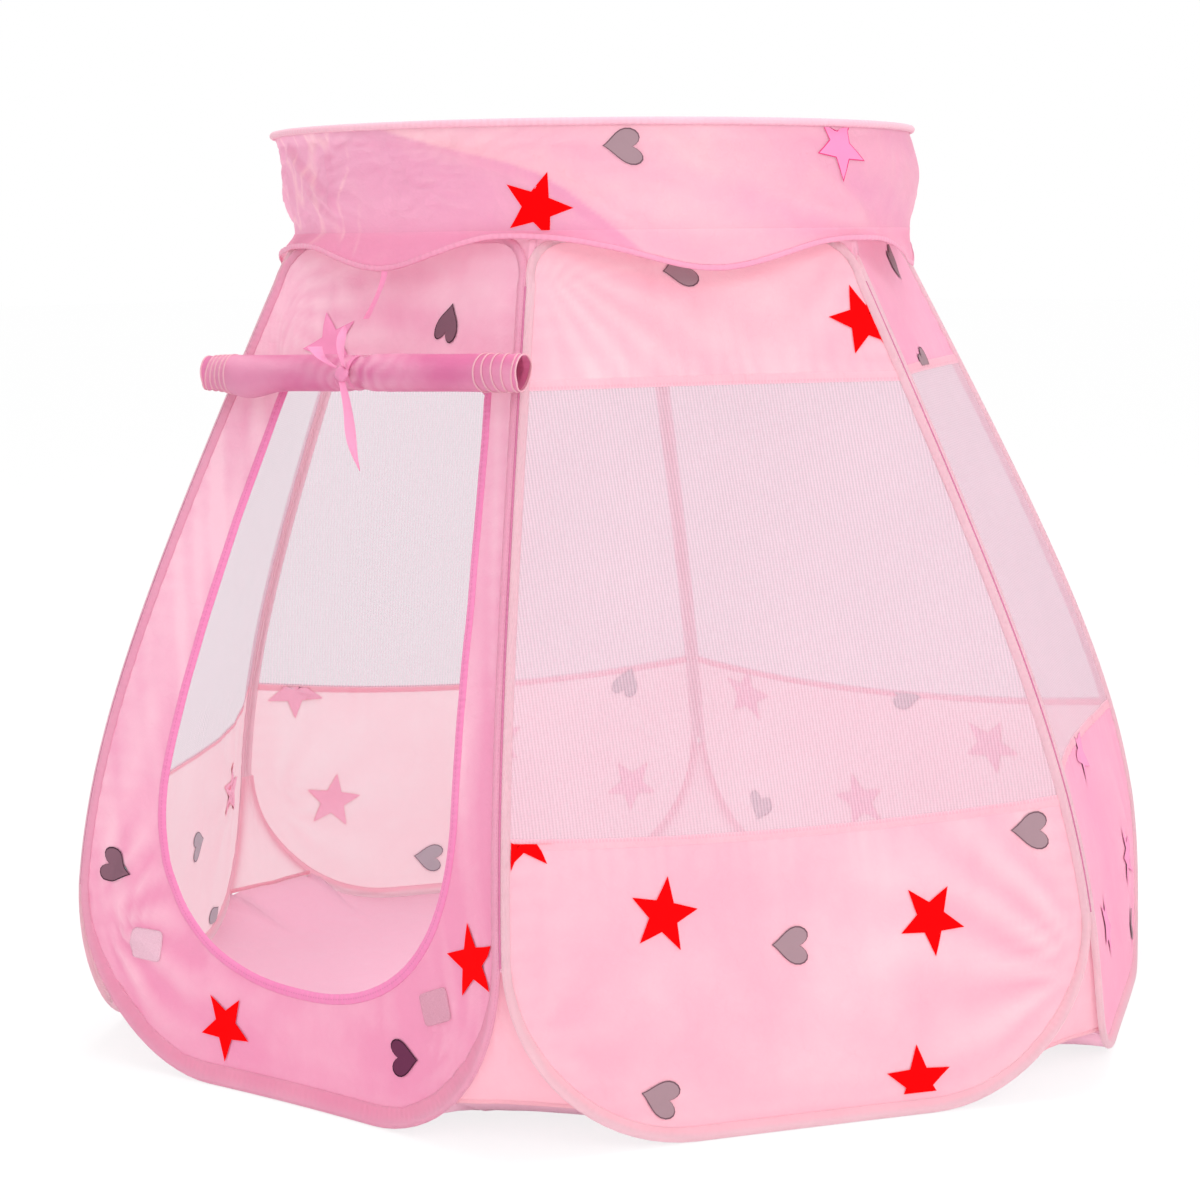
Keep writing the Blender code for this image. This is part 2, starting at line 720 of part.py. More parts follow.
def roll_profile():
    """Distance along the roll and radius, out one end along the skin and back through the bore."""
    profile = [(-ROLL_BODY_HALF, ROLL_RADIUS), (ROLL_BODY_HALF, ROLL_RADIUS)]
    ridge = (ROLL_HALF - ROLL_BODY_HALF) / ROLL_RIDGES
    for index in range(ROLL_RIDGES):
        start = ROLL_BODY_HALF + index * ridge
        profile.append((start + ridge / 4, ROLL_RADIUS - ROLL_RIDGE_STEP))
        profile.append((start + ridge, ROLL_RADIUS - ROLL_RIDGE_STEP / 4))
    profile += [(ROLL_HALF, ROLL_BORE_RADIUS), (-ROLL_HALF, ROLL_BORE_RADIUS)]
    mirrored = [(-place, radius) for place, radius in reversed(profile[2:-2])]
    return profile + mirrored


def add_roll():
    """Rolled door flap, a hollow roll whose layers end in steps."""
    middle, along, out = roll_frame()
    up = along.cross(-out)
    axes = Matrix((along, -out, up)).transposed().to_4x4()
    place = Matrix.Translation(middle + along * ROLL_ACROSS) @ axes
    return add_turned("door_flap_roll", roll_profile(), 'X', ROLL_POINTS, place, ROLL_PINK)


def tie_radius():
    """Radius of the middle of the ribbon round the roll."""
    return ROLL_RADIUS + RIBBON / 2 + SEWN_GAP


def root_top(across):
    """Point of the seam that holds the flap on the wall."""
    return wall_point(DOOR_SIDE, DOOR_OFFSET + across, FLAP_ROOT_HEIGHT, FABRIC + GAP)


def add_flap_root():
    """Unrolled top of the flap, from its seam on the wall to the roll."""
    halves = steps(-FLAP_ROOT_HALF, FLAP_ROOT_HALF, ACROSS_STEPS)
    reach = tie_radius() + RIBBON / 2 + FABRIC
    low = [roll_point(DOOR_OFFSET + across, reach, ROOT_TURN) for across in halves]
    return add_sheet("door_flap_root", [[root_top(across) for across in halves], low], ROLL_PINK)


def knot_front():
    """Point in front of the roll where the tie is knotted."""
    return roll_point(TIE_ACROSS, tie_radius() + RIBBON / 2 + GAP, -math.pi / 2)


def add_tie():
    """Ribbon round the roll and its knot."""
    turns = steps(0, 2 * math.pi, ROLL_POINTS)[:-1]
    rows = [[roll_point(TIE_ACROSS + aside, tie_radius(), turn) for turn in turns]
            for aside in (-TIE_WIDTH / 2, TIE_WIDTH / 2)]
    return [add_sheet("tie_loop", rows, RIBBON_PINK, closed=True, thickness=RIBBON), add_knot()]


def add_knot():
    """Knot of the tie ribbon, a small pillow in front of the roll."""
    along, out = roll_frame()[1:]
    up = along.cross(-out)
    work = bmesh.new()
    bmesh.ops.create_uvsphere(work, u_segments=KNOT_POINTS, v_segments=KNOT_BANDS, radius=1)
    half_depth = KNOT_DEPTH / 2
    for vertex in work.verts:
        aside, forward, rise = vertex.co
        vertex.co = (knot_front() + out * half_depth * (1 + forward)
                     - along * KNOT_WIDTH / 2 * aside + up * KNOT_HEIGHT / 2 * rise)
    mesh = bpy.data.meshes.new("tie_knot")
    work.to_mesh(mesh)
    work.free()
    knot = bpy.data.objects.new("tie_knot", mesh)
    TENT.objects.link(knot)
    add_material(knot, RIBBON_PINK)
    return knot


def ribbon_rows(start, places, width):
    """Rows of a ribbon from offsets along the wall, outwards and up."""
    along, out = roll_frame()[1:]
    half = along * width / 2
    rows = []
    for aside, forward, rise in places:
        middle = start + along * aside + out * forward + Vector((0, 0, rise))
        rows.append([middle - half, middle + half])
    return rows


def add_ribbon_end(name, way, aside, rise):
    """Short end of the tie that stands up from one half of the knot."""
    beside = way * (TIE_WIDTH / 2 + GAP)
    places = []
    for share in steps(0, 1, RIBBON_STEPS):
        places.append((beside + aside * share, KNOT_DEPTH / 2 + END_REACH * math.sin(math.pi * share) / 2,
                       KNOT_HEIGHT / 2 + GAP + rise * share))
    return add_sheet(name, ribbon_rows(knot_front(), places, TIE_WIDTH), RIBBON_PINK,
                     thickness=RIBBON)


def tail_start():
    """Top of the long tail that hangs under the knot."""
    out = roll_frame()[2]
    return knot_front() + out * KNOT_DEPTH / 2 - Vector((0, 0, KNOT_HEIGHT / 2 + GAP))


def add_tail():
    """Long end of the tie, which hangs free."""
    places = []
    for share in steps(0, 1, RIBBON_STEPS):
        places.append((TAIL_SLANT * share, TIE_WIDTH * math.sin(math.pi * share) / 4,
                       -TAIL_LENGTH * share))
    return add_sheet("tie_tail", ribbon_rows(tail_start(), places, TIE_WIDTH), RIBBON_PINK,
                     thickness=RIBBON)


def spare_start():
    """Top of the loose ribbon, just under the hem."""
    lowest = HEM_HIGH - HEM_LOBE
    start = ring_centre(lowest) + outward(0) * (HEM_RADIUS - HEM_RADIUS_LOBE)
    return start + Vector((SPARE_ACROSS, 0, -SEWN_GAP))


def add_spare_ribbon():
    """Loose ribbon that hangs from the hem above the door."""
    places = [(SPARE_SLANT * share, 0, -SPARE_LENGTH * share) for share in steps(0, 1, RIBBON_STEPS)]
    return add_sheet("spare_ribbon", ribbon_rows(spare_start(), places, TIE_WIDTH), RIBBON_PINK,
                     thickness=RIBBON)


def turn_about(name, point, things):
    """Empty on a joint's axis, which carries the pieces that move with it."""
    joint = bpy.data.objects.new(name, None)
    joint.location = point
    TENT.objects.link(joint)
    for thing in things:
        thing.parent = joint
        thing.matrix_parent_inverse = Matrix.Translation(-point)
    return joint


FABRIC_PINK = (1.0, 0.66, 0.74, 1.0)
DOOR_PINK = (0.93, 0.42, 0.62, 1.0)
COLLAR_PINK = (0.95, 0.48, 0.66, 1.0)
BINDING_PINK = (0.93, 0.32, 0.60, 1.0)
RING_PINK = (1.0, 0.70, 0.80, 1.0)
ROLL_PINK = (0.90, 0.38, 0.62, 1.0)
RIBBON_PINK = (0.93, 0.40, 0.60, 1.0)
FLOOR_PINK = (0.95, 0.50, 0.68, 1.0)
NET_WHITE = (0.90, 0.84, 0.90, 1.0)
PATCH_WHITE = (0.95, 0.80, 0.85, 1.0)
STEEL = (0.55, 0.55, 0.57, 1.0)

clear_file()
TENT = bpy.data.collections.new("play_tent")
bpy.context.scene.collection.children.link(TENT)
for number in range(SIDES):
    add_hoop(number)
    add_gusset(number)
    if number != DOOR_SIDE:
        add_wall(number)
add_door_side()
add_patch("door_patch_left", -PATCH_ACROSS)
add_patch("door_patch_right", PATCH_ACROSS)
add_floor()
add_hem()
add_collar()
turn_about("ring_guide", ring_centre(TENT_HEIGHT), add_ring())
FLAP = [add_roll(), add_flap_root()] + add_tie()
FLAP.append(add_ribbon_end("tie_end_left", -1, LEFT_END_ASIDE, LEFT_END_RISE))
FLAP.append(add_ribbon_end("tie_end_right", 1, RIGHT_END_ASIDE, RIGHT_END_RISE))
FLAP.append(turn_about("tail_hinge", tail_start(), [add_tail()]))
turn_about("flap_hinge", root_top(0), FLAP)
turn_about("spare_hinge", spare_start(), [add_spare_ribbon()])
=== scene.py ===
# %% [markdown]
# # A pop-up play tent
# The tent is six closed hoops of spring wire, sewn side by side into a ring of walls. Each hoop
# holds a wall of thin printed cloth with a window of fine net, and a soft collar under a wire
# ring closes the top. The measured frame is loaded first, so that every piece of cloth made
# below goes where the wires already are, with no fitting by eye. Blender's vector noise starts
# from the clock unless it has a seed, so one is set, and each run crumples the cloth alike.

# %% The measured frame
import json
import math

import bpy
import numpy as np
from mathutils import Matrix, Vector, noise

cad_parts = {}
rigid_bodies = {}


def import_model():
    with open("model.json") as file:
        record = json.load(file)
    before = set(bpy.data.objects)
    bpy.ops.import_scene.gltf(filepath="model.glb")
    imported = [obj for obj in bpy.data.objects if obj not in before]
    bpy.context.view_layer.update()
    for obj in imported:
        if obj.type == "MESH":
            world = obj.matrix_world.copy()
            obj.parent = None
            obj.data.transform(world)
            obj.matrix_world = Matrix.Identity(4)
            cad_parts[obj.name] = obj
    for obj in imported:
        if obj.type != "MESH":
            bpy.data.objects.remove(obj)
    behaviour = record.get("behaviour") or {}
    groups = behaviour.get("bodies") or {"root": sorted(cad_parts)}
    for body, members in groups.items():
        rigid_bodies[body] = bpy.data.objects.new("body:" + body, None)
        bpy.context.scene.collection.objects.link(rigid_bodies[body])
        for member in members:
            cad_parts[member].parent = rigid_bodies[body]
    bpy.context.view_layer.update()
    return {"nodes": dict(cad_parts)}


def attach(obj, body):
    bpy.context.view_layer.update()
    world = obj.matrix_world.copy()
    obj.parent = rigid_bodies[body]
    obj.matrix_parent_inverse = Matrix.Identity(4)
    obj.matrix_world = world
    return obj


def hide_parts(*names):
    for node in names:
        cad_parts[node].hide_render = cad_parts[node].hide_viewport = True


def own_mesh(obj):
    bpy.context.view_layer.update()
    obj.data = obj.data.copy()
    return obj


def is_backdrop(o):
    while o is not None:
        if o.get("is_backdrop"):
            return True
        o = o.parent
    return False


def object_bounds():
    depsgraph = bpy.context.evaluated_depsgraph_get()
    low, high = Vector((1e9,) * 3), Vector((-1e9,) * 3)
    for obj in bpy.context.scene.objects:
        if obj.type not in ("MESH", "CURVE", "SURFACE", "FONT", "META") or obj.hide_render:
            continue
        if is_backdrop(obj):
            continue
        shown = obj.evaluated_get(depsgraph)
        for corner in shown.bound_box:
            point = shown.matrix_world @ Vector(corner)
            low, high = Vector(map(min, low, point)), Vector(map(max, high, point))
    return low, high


NOISE_SEED = 1
noise.seed_set(NOISE_SEED)
for thing in list(bpy.data.objects):
    bpy.data.objects.remove(thing, do_unlink=True)
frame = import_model()

# %% [markdown]
# ## The camera
# The photograph looks at the corner right of the door, from about 3 m away and a little under
# the height of the top ring. The camera's place and turns were found by fitting the hoops to
# the picture. A camera could be aimed with a constraint, but three plain direction vectors,
# turned by a small roll, say exactly what was fitted.

# %% Camera
CAMERA_AZIMUTH = math.radians(39.80)
CAMERA_DISTANCE = 3.0
CAMERA_HEIGHT = 0.8012
CAMERA_SWING = math.radians(-0.6058)
CAMERA_DIP = math.radians(7.1663)
CAMERA_ROLL = math.radians(-0.6084)
SENSOR = 36.0
FOCAL_SHARE = 2848.2 / 1200


def level(angle):
    """Level direction at an azimuth that counts from the door side towards +X."""
    return Vector((math.sin(angle), -math.cos(angle), 0))


across_view = Vector((math.cos(CAMERA_AZIMUTH), math.sin(CAMERA_AZIMUTH), 0))
into_view = -level(CAMERA_AZIMUTH)
right = across_view * math.cos(CAMERA_SWING) - into_view * math.sin(CAMERA_SWING)
ahead = across_view * math.sin(CAMERA_SWING) + into_view * math.cos(CAMERA_SWING)
UP = Vector((0, 0, 1))
forward = ahead * math.cos(CAMERA_DIP) - UP * math.sin(CAMERA_DIP)
above = UP * math.cos(CAMERA_DIP) + ahead * math.sin(CAMERA_DIP)
rolled_right = right * math.cos(CAMERA_ROLL) + above * math.sin(CAMERA_ROLL)
rolled_up = above * math.cos(CAMERA_ROLL) - right * math.sin(CAMERA_ROLL)
lens = bpy.data.cameras.new("camera")
lens.sensor_width = SENSOR
lens.lens = SENSOR * FOCAL_SHARE
camera = bpy.data.objects.new("camera", lens)
bpy.context.scene.collection.objects.link(camera)
camera_place = level(CAMERA_AZIMUTH) * CAMERA_DISTANCE + UP * CAMERA_HEIGHT
camera_turn = Matrix((rolled_right, rolled_up, -forward)).transposed().to_4x4()
camera.matrix_world = Matrix.Translation(camera_place) @ camera_turn
bpy.context.scene.camera = camera
print("lens", round(lens.lens, 2), "mm")

# %% [markdown]
# ## Light and floor
# Thin cloth looks right only when light also comes through it, so the tent stands in an even,
# bright surround with one broad lamp from the front right and one from above. The surround and
# the floor answer the camera's own rays with plain white, and other rays with a softer light,
# which keeps the background white without adding light to the tent.

# %% Even surround
world = bpy.data.worlds.new("studio")
bpy.context.scene.world = world
world.use_nodes = True
tree = world.node_tree
tree.nodes.clear()
ROOM_LIGHT = 0.98


def seen_directly(tree):
    """Socket that is 1 for rays that show the background itself."""
    path = tree.nodes.new("ShaderNodeLightPath")
    total = path.outputs["Is Camera Ray"]
    for name in ("Is Glossy Ray", "Is Transmission Ray"):
        sum_of_rays = tree.nodes.new("ShaderNodeMath")
        sum_of_rays.operation = 'MAXIMUM'
        tree.links.new(total, sum_of_rays.inputs[0])
        tree.links.new(path.outputs[name], sum_of_rays.inputs[1])
        total = sum_of_rays.outputs[0]
    return total


room = tree.nodes.new("ShaderNodeBackground")
room.inputs["Color"].default_value = (1, 1, 1, 1)
room.inputs["Strength"].default_value = ROOM_LIGHT
plain = tree.nodes.new("ShaderNodeBackground")
plain.inputs["Color"].default_value = (1, 1, 1, 1)
either = tree.nodes.new("ShaderNodeMixShader")
out = tree.nodes.new("ShaderNodeOutputWorld")
tree.links.new(seen_directly(tree), either.inputs[0])
tree.links.new(room.outputs[0], either.inputs[1])
tree.links.new(plain.outputs[0], either.inputs[2])
tree.links.new(either.outputs[0], out.inputs["Surface"])
bpy.context.scene.view_settings.view_transform = 'Standard'
print("surround of strength", ROOM_LIGHT)

# %% Lamps and floor
LAMPS = (("front_lamp", (2.9, -1.3, 2.2), 1.4, 32), ("top_lamp", (0.0, 0.0, 5.0), 2.0, 80))
AIM_HEIGHT = 0.4
for name, place, size, power in LAMPS:
    lamp = bpy.data.lights.new(name, 'AREA')
    lamp.size = size
    lamp.energy = power
    holder = bpy.data.objects.new(name, lamp)
    bpy.context.scene.collection.objects.link(holder)
    holder.location = place
    aim = Vector((0, 0, AIM_HEIGHT)) - Vector(place)
    holder.rotation_euler = aim.to_track_quat('-Z', 'Y').to_euler()
FLOOR_HALF = 30.0
FLOOR_DROP = 0.0004
PAPER_WHITE, PAPER_GLOW = 0.99, 0.8
corners = [(x * FLOOR_HALF, y * FLOOR_HALF, -FLOOR_DROP)
           for x, y in ((-1, -1), (1, -1), (1, 1), (-1, 1))]
mesh = bpy.data.meshes.new("studio_floor")
mesh.from_pydata(corners, [], [(0, 1, 2, 3)])
studio_floor = bpy.data.objects.new("studio_floor", mesh)
bpy.context.scene.collection.objects.link(studio_floor)
paper = bpy.data.materials.new("studio_paper")
paper.use_nodes = True
paper_shader = paper.node_tree.nodes["Principled BSDF"]
paper_shader.inputs["Base Color"].default_value = (PAPER_WHITE, PAPER_WHITE, PAPER_WHITE, 1)
paper_shader.inputs["Roughness"].default_value = 0.9
glow = paper.node_tree.nodes.new("ShaderNodeEmission")
blend = paper.node_tree.nodes.new("ShaderNodeMixShader")
blend.inputs[0].default_value = PAPER_GLOW
only_seen = paper.node_tree.nodes.new("ShaderNodeMixShader")
paper.node_tree.links.new(paper_shader.outputs[0], blend.inputs[1])
paper.node_tree.links.new(glow.outputs[0], blend.inputs[2])
paper.node_tree.links.new(seen_directly(paper.node_tree), only_seen.inputs[0])
paper.node_tree.links.new(paper_shader.outputs[0], only_seen.inputs[1])
paper.node_tree.links.new(blend.outputs[0], only_seen.inputs[2])
paper.node_tree.links.new(only_seen.outputs[0],
                          paper.node_tree.nodes["Material Output"].inputs["Surface"])
mesh.materials.append(paper)
studio_floor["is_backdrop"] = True
print("lamps", [lamp[0] for lamp in LAMPS])

# %% [markdown]
# ## Shader sums written as Python
# A material's pattern is a sum of waves, noises and masks. Drawn by hand it is a web of Math
# nodes, which is hard to read. The small class below wraps one socket, so that `1 - mask * 0.2`
# adds the nodes it needs, and one method makes any other kind of node.

# %% Sockets that add up
class Flow:
    """A value that flows through one material's nodes."""

    def __init__(self, tree, socket):
        self.tree = tree
        self.socket = socket

    def node(self, kind, settings=None, inputs=None, output=0):
        """Any node: its settings are set first, then the values or links of its sockets."""
        made = self.tree.nodes.new(kind)
        settings = dict(settings or {})
        stops = settings.pop("stops", None)
        for name, value in settings.items():
            setattr(made, name, value)
        if stops:
            ramp = made.color_ramp
            for index, (place, colour) in enumerate(stops):
                if index >= len(ramp.elements):
                    ramp.elements.new(place)
                ramp.elements[index].position = place
                ramp.elements[index].color = colour
        for name, value in (inputs or {}).items():
            socket = made.inputs[name]
            if isinstance(value, Flow):
                self.tree.links.new(value.socket, socket)
            else:
                socket.default_value = value
        return Flow(self.tree, made.outputs[output])

    def math(self, operation, *others):
        """A Math node on numbers."""
        values = (self,) + others
        return self.node("ShaderNodeMath", {"operation": operation}, dict(enumerate(values)))

    def part(self, axis):
        """One of a vector's three numbers."""
        return self.node("ShaderNodeSeparateXYZ", {}, {0: self}, axis)

    def tint(self, low, high):
        """A colour between two others, by this number."""
        return self.node("ShaderNodeMix", {"data_type": 'RGBA'}, {0: self, 6: low, 7: high}, 2)

    def __add__(self, other):
        return self.math('ADD', other)

    __radd__ = __add__

    def __sub__(self, other):
        return self.math('SUBTRACT', other)

    def __rsub__(self, other):
        return self.node("ShaderNodeMath", {"operation": 'SUBTRACT'}, {0: other, 1: self})

    def __mul__(self, other):
        return self.math('MULTIPLY', other)

    __rmul__ = __mul__

    def __truediv__(self, other):
        return self.math('DIVIDE', other)

    def __gt__(self, other):
        return self.math('GREATER_THAN', other)


def paint(red, green, blue):
    """Colour written as on a colour card, 0 to 255, as the shader needs it."""
    def straight(value):
        share = value / 255
        return share / 12.92 if share <= 0.04045 else ((share + 0.055) / 1.055) ** 2.4
    return (straight(red), straight(green), straight(blue), 1)


print("a card white is", [round(value, 3) for value in paint(255, 255, 255)])

# %% [markdown]
# ## Thin printed cloth
# The walls are very thin woven nylon, the kind of cloth that lets the daylight in: from inside
# it glows. One shader could use transmission, but that is meant for glass. Here a Principled
# surface is mixed with Translucent ones, which pass light on and scatter it, and a slight lack
# of opacity lets a print on the far wall show faintly. The weave and the small crumples are a
# bump, and read the cloth's own map, in metres, so that threads keep their size. The dye reads
# "fold", a number kept at each vertex, so that ridges look paler and hollows deeper.

# %% Coordinates of a piece
def start_material(name):
    """An empty material with its shader, and the two coordinates that the patterns read."""
    material = bpy.data.materials.new(name)
    material.use_nodes = True
    tree = material.node_tree
    shader = tree.nodes["Principled BSDF"]
    room_place = tree.nodes.new("ShaderNodeTexCoord")
    own_map = tree.nodes.new("ShaderNodeUVMap")
    own_map.uv_map = "cloth"
    return material, shader, Flow(tree, room_place.outputs["Object"]), Flow(tree, own_map.outputs[0])


def wave(value, pitch):
    """Smooth ridges, one for each pitch in metres."""
    return (value * (2 * math.pi / pitch)).math('SINE') * 0.5 + 0.5


def mottle(place, scale, detail=3.0, rough=0.55):
    """Soft uneven patches."""
    return place.node("ShaderNodeTexNoise", {},
                      {"Vector": place, "Scale": scale, "Detail": detail, "Roughness": rough})


def give_bump(shader, height, strength, distance):
    """Let a height pattern turn the surface's shading."""
    bump = height.node("ShaderNodeBump", {}, {"Height": height, "Strength": strength,
                                              "Distance": distance})
    shader.id_data.links.new(bump.socket, shader.inputs["Normal"])


def connect(shader, name, flow):
    """Feed one of the shader's sockets."""
    shader.id_data.links.new(flow.socket, shader.inputs[name])


NEAR_WHITE = (1, 0.97, 0.98, 1)


def let_light_through(material, shader, share, dyes, amount, pale=0.45):
    """Mix the shader with light that passes through the cloth, paler than its two dyes.

    Each dye has a Translucent shader with a plain colour, and the pattern's share mixes the two.
    """
    tree = material.node_tree
    through = tree.nodes.new("ShaderNodeMixShader")
    tree.links.new(share.socket, through.inputs[0])
    for slot, dye in enumerate(dyes, 1):
        passing = tree.nodes.new("ShaderNodeBsdfTranslucent")
        passing.inputs["Color"].default_value = [own + (white - own) * pale
                                                 for own, white in zip(dye, NEAR_WHITE)]
        tree.links.new(passing.outputs[0], through.inputs[slot])
    both = tree.nodes.new("ShaderNodeMixShader")
    both.inputs[0].default_value = amount
    tree.links.new(shader.outputs[0], both.inputs[1])
    tree.links.new(through.outputs[0], both.inputs[2])
    tree.links.new(both.outputs[0], tree.nodes["Material Output"].inputs["Surface"])


print("pattern helpers ready")

# %% Cloth
THREAD = 0.0011
CRUMPLE = 26.0


def shade(colour, share):
    """The same colour, a share as bright."""
    return tuple(value * share for value in colour[:3]) + (1,)


def make_cloth(name, colour, deep, through=0.38, opacity=0.94, crumple=0.55, folded=0.55,
               patch=5.0, pale=0.45):
    """Thin woven cloth: uneven dye, a fine weave, and folds that gather its colour."""
    material, shader, place, own_map = start_material(name)
    fold = place.node("ShaderNodeAttribute", {"attribute_name": "fold"}, {}, "Fac")
    patches = mottle(place, patch, 3.0)
    creases = (mottle(place, CRUMPLE, 5.0, 0.6) * 2 - 1).math('ABSOLUTE')
    weave = wave(own_map.part(0), THREAD) * wave(own_map.part(1), THREAD)
    amount = patches * 0.5 + 0.12 + fold * folded + creases * 0.35 - weave * 0.12
    share = amount.node("ShaderNodeClamp", {}, {"Value": amount})
    connect(shader, "Base Color", share.tint(deep, colour))
    shader.inputs["Roughness"].default_value = 0.62
    shader.inputs["Specular IOR Level"].default_value = 0.3
    shader.inputs["Sheen Weight"].default_value = 0.15
    shader.inputs["Alpha"].default_value = opacity
    give_bump(shader, creases * 0.9 + weave * 0.06, crumple, 0.004)
    let_light_through(material, shader, share, (deep, colour), through, pale)
    return material


WALL_CLOTH = make_cloth("wall_cloth", paint(254, 209, 216), paint(251, 176, 194), folded=0.8)
BACK_CLOTH = make_cloth("back_cloth", paint(255, 220, 228), paint(255, 188, 205), 0.62, pale=0.55)
DOOR_CLOTH = make_cloth("door_cloth", paint(250, 200, 216), paint(236, 142, 182), folded=0.7)
SHADY_CLOTH = make_cloth("shady_cloth", paint(252, 182, 205), paint(246, 150, 190))
COLLAR_CLOTH = make_cloth("collar_cloth", paint(252, 190, 201), paint(234, 144, 184), 0.40, 0.92,
                          0.9, 0.9, 7.0)
HEM_CLOTH = make_cloth("hem_cloth", paint(254, 202, 212), paint(243, 158, 194), 0.38, 0.97,
                       0.7, 0.9, 7.0)
FLOOR_CLOTH = make_cloth("floor_cloth", paint(255, 212, 230), paint(255, 198, 220), 0.12, 1.0)
ROLL_CLOTH = make_cloth("flap_cloth", paint(250, 178, 208), paint(236, 126, 178), 0.36, 1.0,
                        0.7, 0.8, 12.0)
print("cloths:", [m.name for m in bpy.data.materials if m.name.endswith("cloth")])

# %% [markdown]
# ## Net, tapes and prints
# The windows are warp-knitted net with upright ribs about 3 mm apart. Real holes would need
# millions of faces, so the net is a sheet whose opacity follows the ribs. The back windows have
# a darker net, as they look through the front one. The tapes that bind the edges are folded
# ribbon, stitched along one edge; those of the back hoops are sheer, because light shines
# through them. The prints are flat ink, laid as thin shapes on the cloth, with a paler twin
# inside, because the ink shows through.

# %% Net
RIB = 0.0033
CROSS_THREAD = 0.0022


def make_net(name, dark, light, seen_through):
    """Fine net: upright ribs with lighter threads across them."""
    material, shader, place, own_map = start_material(name)
    ribs = wave(own_map.part(0), RIB)
    threads = wave(own_map.part(1), CROSS_THREAD)
    drift = mottle(place, 9.0, 2.0)
    connect(shader, "Base Color", (drift * 0.4 + ribs * 0.6).tint(dark, light))
    shader.inputs["Roughness"].default_value = 0.7
    shader.inputs["Specular IOR Level"].default_value = 0.2
    connect(shader, "Alpha", ribs * 0.26 + threads * 0.08 + drift * 0.06 + 0.26)
    give_bump(shader, ribs + threads * 0.3, 0.35, 0.001)
    let_light_through(material, shader, ribs, (seen_through, light), 0.3)
    return material


NET = make_net("window_net", paint(212, 188, 202), paint(240, 212, 224), paint(224, 204, 214))
BACK_NET = make_net("back_net", paint(198, 180, 198), paint(232, 210, 224), paint(216, 200, 214))
print("nets:", NET.name, "and", BACK_NET.name)

# %% Tapes, ribbon and pads
STITCH = 0.0034
STITCH_GAP_SHARE = 0.35


def make_tape(name, colour, seam, through=0.2, pucker=0.5, pale=0.45, opacity=1.0):
    """Folded binding tape with a row of stitches and the puckers that the thread pulls."""
    material, shader, place, own_map = start_material(name)
    along, around = own_map.part(0), own_map.part(1)
    dash = (along / STITCH).math('FRACT') > STITCH_GAP_SHARE
    line = 1 - ((around - 0.25).math('ABSOLUTE') > 0.02)
    thread = dash * line
    puckers = wave(along, 2 * STITCH) * mottle(place, 60.0)
    share = mottle(place, 14.0) * 0.8
    dyed = share.tint(colour, seam)
    connect(shader, "Base Color", (thread * 0.7).tint(dyed, shade(seam, 0.85)))
    shader.inputs["Roughness"].default_value = 0.6
    shader.inputs["Sheen Weight"].default_value = 0.2
    shader.inputs["Alpha"].default_value = opacity
    give_bump(shader, puckers + mottle(place, 120.0) * 0.4 - thread * 0.4, pucker, 0.002)
    let_light_through(material, shader, share, (colour, seam), through, pale)
    return material


BINDING = make_tape("door_tape", paint(246, 148, 196), paint(240, 122, 180))
PALE_TAPE = make_tape("hoop_tape", paint(255, 224, 231), paint(255, 204, 217), 0.68, pale=0.65)
BACK_TAPE = make_tape("back_hoop_tape", paint(255, 218, 229), paint(255, 192, 210), 0.75,
                      pale=0.55, opacity=0.64)
DOOR_TAPE = make_tape("door_hoop_tape", paint(250, 186, 209), paint(243, 152, 192), 0.55, pale=0.6)
EDGE_TAPE = make_tape("edge_tape", paint(255, 210, 219), paint(250, 186, 204), 0.45)
SEAM_TAPE = make_tape("seam_tape", paint(214, 122, 162), paint(190, 96, 142), 0.1)
RING_TAPE = make_tape("ring_tape", paint(252, 202, 216), paint(248, 178, 200))
HEM_TAPE = make_tape("hem_tape", paint(248, 176, 202), paint(240, 146, 184))
RIBBON_CLOTH = make_tape("ribbon_cloth", paint(246, 166, 202), paint(236, 128, 180), 0.25, 0.2)


def make_pad(name, dark, light):
    """Hook-and-loop pad: a field of tiny loops, or of tiny hooks."""
    material, shader, place, own_map = start_material(name)
    loops = mottle(place, 900.0, 1.0)
    connect(shader, "Base Color", loops.tint(dark, light))
    shader.inputs["Roughness"].default_value = 0.95
    give_bump(shader, loops, 0.8, 0.001)
    return material


PADS = {"left": make_pad("loop_pad", paint(212, 164, 182), paint(230, 190, 205)),
        "right": make_pad("hook_pad", paint(196, 132, 154), paint(218, 160, 180))}
print("tapes:", [m.name for m in bpy.data.materials if m.name.endswith("tape")])

# %% Inks
RIM_SHARE = 0.93


def make_ink(name, fill, rim):
    """Printed ink, darker in a rim; the map's first number runs from middle to edge."""
    material, shader, place, own_map = start_material(name)
    edge = own_map.part(0) > RIM_SHARE
    worn = mottle(place, 70.0, 4.0)
    filled = (worn * 0.5).tint(fill, shade(fill, 0.88))
    connect(shader, "Base Color", edge.tint(filled, rim))
    shader.inputs["Roughness"].default_value = 0.85
    shader.inputs["Specular IOR Level"].default_value = 0.05
    give_bump(shader, mottle(place, 400.0), 0.15, 0.001)
    return material


